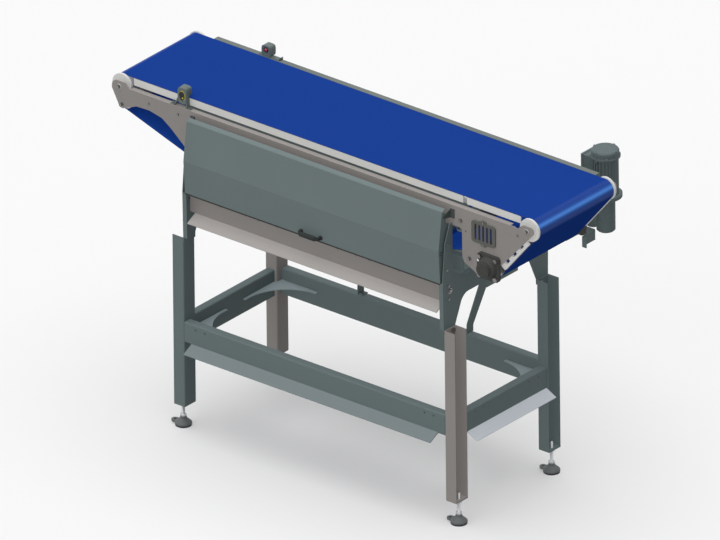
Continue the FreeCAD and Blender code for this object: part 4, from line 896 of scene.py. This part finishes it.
# foot of the far hood on the ledge, with an upturned lip
mateSet = {"left": 0.016, "right": 0.038, "high": 0.0030, "lip": 0.003, "lipHigh": 0.009, "front": 0.004}
domeSet = {"lens": 0.0062, "base": 0.0010, "rise": 0.0030, "steps": 8, "bezel": 0.0026, "edge": 0.0016,
           "high": 0.0022, "soft": 0.0005, "sides": 32}


def makeNearEye(values, leg, face):
    # hood: superellipse plate with an oval window, then a ring of the same outline behind it
    low, high, _ = boxOf("eye_guard")
    hair, sheet, ease, count = (values[key] for key in ("hair", "sheet", "ease", "points"))
    x, base, top = values["near"], low[2], high[2] - values["topGap"]
    bottom = base + values["skirt"]
    middle = np.array((x, (bottom + top) / 2))
    size = np.array([values["half"], (top - bottom) / 2])
    outline = roundedRing(middle, size, ease, count)
    inner = roundedRing(middle, size - sheet, ease, count)
    window = roundedRing(middle, values["window"], 2.0, count)
    step = low[1] + sheet
    parts = [upright(outline, low[1], step, sensorGrey, window),
             upright(outline, step, high[1] - hair, sensorGrey, inner)]
    # the upper part of the hood reaches back over the belt's edge, clear of the belt
    shelf = boxOf("belt")[1][2] + values["clear"]
    back = roundedRing((x, (shelf + top) / 2), (values["half"], (top - shelf) / 2), ease, count)
    parts.append(upright(back, high[1] - 2 * hair, values["deep"], sensorGrey))
    for side, reach in ((-1, x - low[0]), (1, high[0] - x)):
        inside, outside = values["half"] - leg["sink"], reach - leg["run"]
        tab = outside - leg["tab"]
        post = ((inside, bottom + leg["high"]), (inside - leg["top"], bottom + leg["low"]),
                (outside - leg["foot"], base + leg["toe"]), (outside, base + leg["toe"]))
        pad = ((tab, base), (reach, base), (reach, base + sheet), (tab, base + sheet))
        parts += [upright(np.array(corners) * (side, 1) + (x, 0), low[1], high[1], sensorGrey)
                  for corners in (post, pad)]
    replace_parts(addPiece("nearEyeHood", parts, "machine"), "eye_guard")
    # body: black block with the yellow and black ovals, which leave a crescent, and the dot
    front, oval = step + 2 * hair, np.array(values["window"])
    dotX, dotZ = face["dotAt"]
    dot = turnedPlate(face["dot"], 0, face["dotHigh"])
    dotAt = (x + dotX, front - 2 * hair, middle[1] + dotZ)
    yellow = roundedRing(middle, oval - 2 * hair, 2.0, face["points"])
    black = roundedRing(middle + face["shift"], oval - face["inset"], 2.0, face["points"])
    body = [upright(inner, step + face["step"], high[1] - 2 * hair, blackRubber),
            upright(yellow, front, step + face["step"], yellowPlastic),
            upright(black, front - face["high"], front, blackRubber),
            lathe(dot, dotAt, (0, -1, 0), yellowPlastic, face["dotSides"])]
    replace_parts(addPiece("nearEyeBody", body, "machine"), "photo_eye")


def makeFarEye(values, mate, base):
    # hood: the same superellipse, standing on the ledge, with a round black recess towards the belt
    low, high, _ = boxOf("far_eye")
    x, top = values["far"], boxOf("eye_guard")[1][2] - values["topGap"]
    size = (values["half"], (top - base) / 2)
    outline = roundedRing((x, (base + top) / 2), size, values["ease"], values["points"])
    spot = (x, top - values["below"])
    recess = roundedRing(spot, (values["round"],) * 2, 2.0, values["points"])
    step = low[1] + values["sheet"]
    parts = [upright(outline, low[1], step, sensorGrey, recess), upright(outline, step, high[1], sensorGrey),
             upright(recess, step - values["recess"], step, blackRubber)]
    start, end = x - values["half"] - mate["left"], x + values["half"] + mate["right"]
    for left, tall in ((start, mate["high"]), (end - mate["lip"], mate["lipHigh"])):
        corners = [(left, base), (end, base), (end, base + tall), (left, base + tall)]
        parts.append(upright(corners, low[1] + mate["front"], ledgeOuter, sensorGrey))
    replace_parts(addPiece("farEyeHood", parts, "machine"), "far_eye")
    return spot


def makeLenses(values, dome, spot):
    # dome: quarter circle (r cos a, base + rise sin a) in a black bezel; one on each eye, facing the other
    near = values["deep"] - values["hair"]
    far = boxOf("far_eye")[0][1] + values["sheet"] - values["recess"]
    lens = dome["lens"]
    edge = lens + dome["bezel"]
    cap = [(lens * math.cos(a), dome["base"] + dome["rise"] * math.sin(a))
           for a in np.linspace(0, math.pi / 2, dome["steps"])]
    ring = softened([(lens, 0), (edge, 0), (edge, dome["edge"]), (lens, dome["high"]), (lens, 0)],
                    dome["soft"])
    parts = []
    for x, y, side in ((values["near"], near, 1), (spot[0], far, -1)):
        at, axis = (x, y, spot[1]), (0, side, 0)
        parts.append(lathe(ring, at, axis, blackRubber, dome["sides"]))
        parts.append(lathe([(lens, 0), *cap, (0, 0)], at, axis, redLens, dome["sides"]))
    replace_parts(addPiece("eyeLensPair", parts, "machine"), "eye_lenses")


makeNearEye(eyeSet, legSet, faceSet)
makeLenses(eyeSet, domeSet, makeFarEye(eyeSet, mateSet, ledgeTop))
print("trim made")

# Studio: pale floor that keeps the shadow, even white surroundings, a broad key light, two soft fills
# and a glint that only the belt's bends reflect

lightSet = {"world": 0.34, "floor": 0.835, "floorBounce": 0.34, "floorRough": 0.9, "reach": 30.0, "lamps": {
    "key": {"energy": 0.95, "angle": 70, "direction": (0.05, 0.03, -1.0), "shadow": True},
    "fillTop": {"energy": 1.30, "angle": 70, "direction": (0.05, 0.03, -1.0), "shadow": False},
    "fillFront": {"energy": 0.98, "angle": 60, "direction": (0.10, 0.95, -0.30), "shadow": False},
    "glint": {"energy": 13.0, "angle": 26, "direction": (-0.66, -0.69, -0.29), "shadow": False,
              "colour": (0.13, 0.42, 1.0), "only": "conveyorBelt"}}}


def setWorld(values):
    # the camera and reflections see a white world, while surfaces get its weaker light
    maker = Maker(bpy.data.worlds.new("studio"))
    strength = maker.add("ShaderNodeMapRange", {}, {"Value": maker.seen(), "To Min": values["world"],
                                                    "To Max": 1.0})
    background = maker.add("ShaderNodeBackground", {}, {"Color": (1, 1, 1, 1),
                                                        "Strength": strength.outputs["Result"]})
    maker.add("ShaderNodeOutputWorld", {}, {0: background.outputs[0]})
    bpy.context.scene.world = maker.owner


def setLamps(values):
    # a lamp with a colour shows only as a reflection, and only on the piece that it names
    for name, lamp in values["lamps"].items():
        data = bpy.data.lights.new(name, "SUN")
        data.energy = lamp["energy"]
        data.angle = math.radians(lamp["angle"])
        data.use_shadow = lamp["shadow"]
        light = bpy.data.objects.new(name, data)
        light.rotation_euler = Vector(lamp["direction"]).to_track_quat("-Z", "Y").to_euler()
        bpy.context.scene.collection.objects.link(light)
        if "colour" in lamp:
            data.color = lamp["colour"]
            light.visible_diffuse = False
            lit = bpy.data.collections.new(name)
            lit.objects.link(bpy.data.objects[lamp["only"]])
            light.light_linking.receiver_collection = lit


def layFloor(values):
    # the floor is pale where it is seen, and darker for the light that it throws back
    maker = startFinish("paleFloor")
    bounce, shown = ((values[key],) * 3 + (1,) for key in ("floorBounce", "floor"))
    finish = maker.finish(Base_Color=maker.blend(maker.seen(), bounce, shown),
                          Roughness=values["floorRough"], Specular_IOR_Level=0.0)
    mesh = bpy.data.meshes.new("floor")
    reach = values["reach"]
    mesh.from_pydata([(-reach, -reach, 0), (reach, -reach, 0), (reach, reach, 0), (-reach, reach, 0)], [],
                     [(0, 1, 2, 3)])
    mesh.materials.append(finish)
    floor = bpy.data.objects.new("floor", mesh)
    bpy.context.scene.collection.objects.link(floor)


setWorld(lightSet)
setLamps(lightSet)
layFloor(lightSet)
print("studio set")
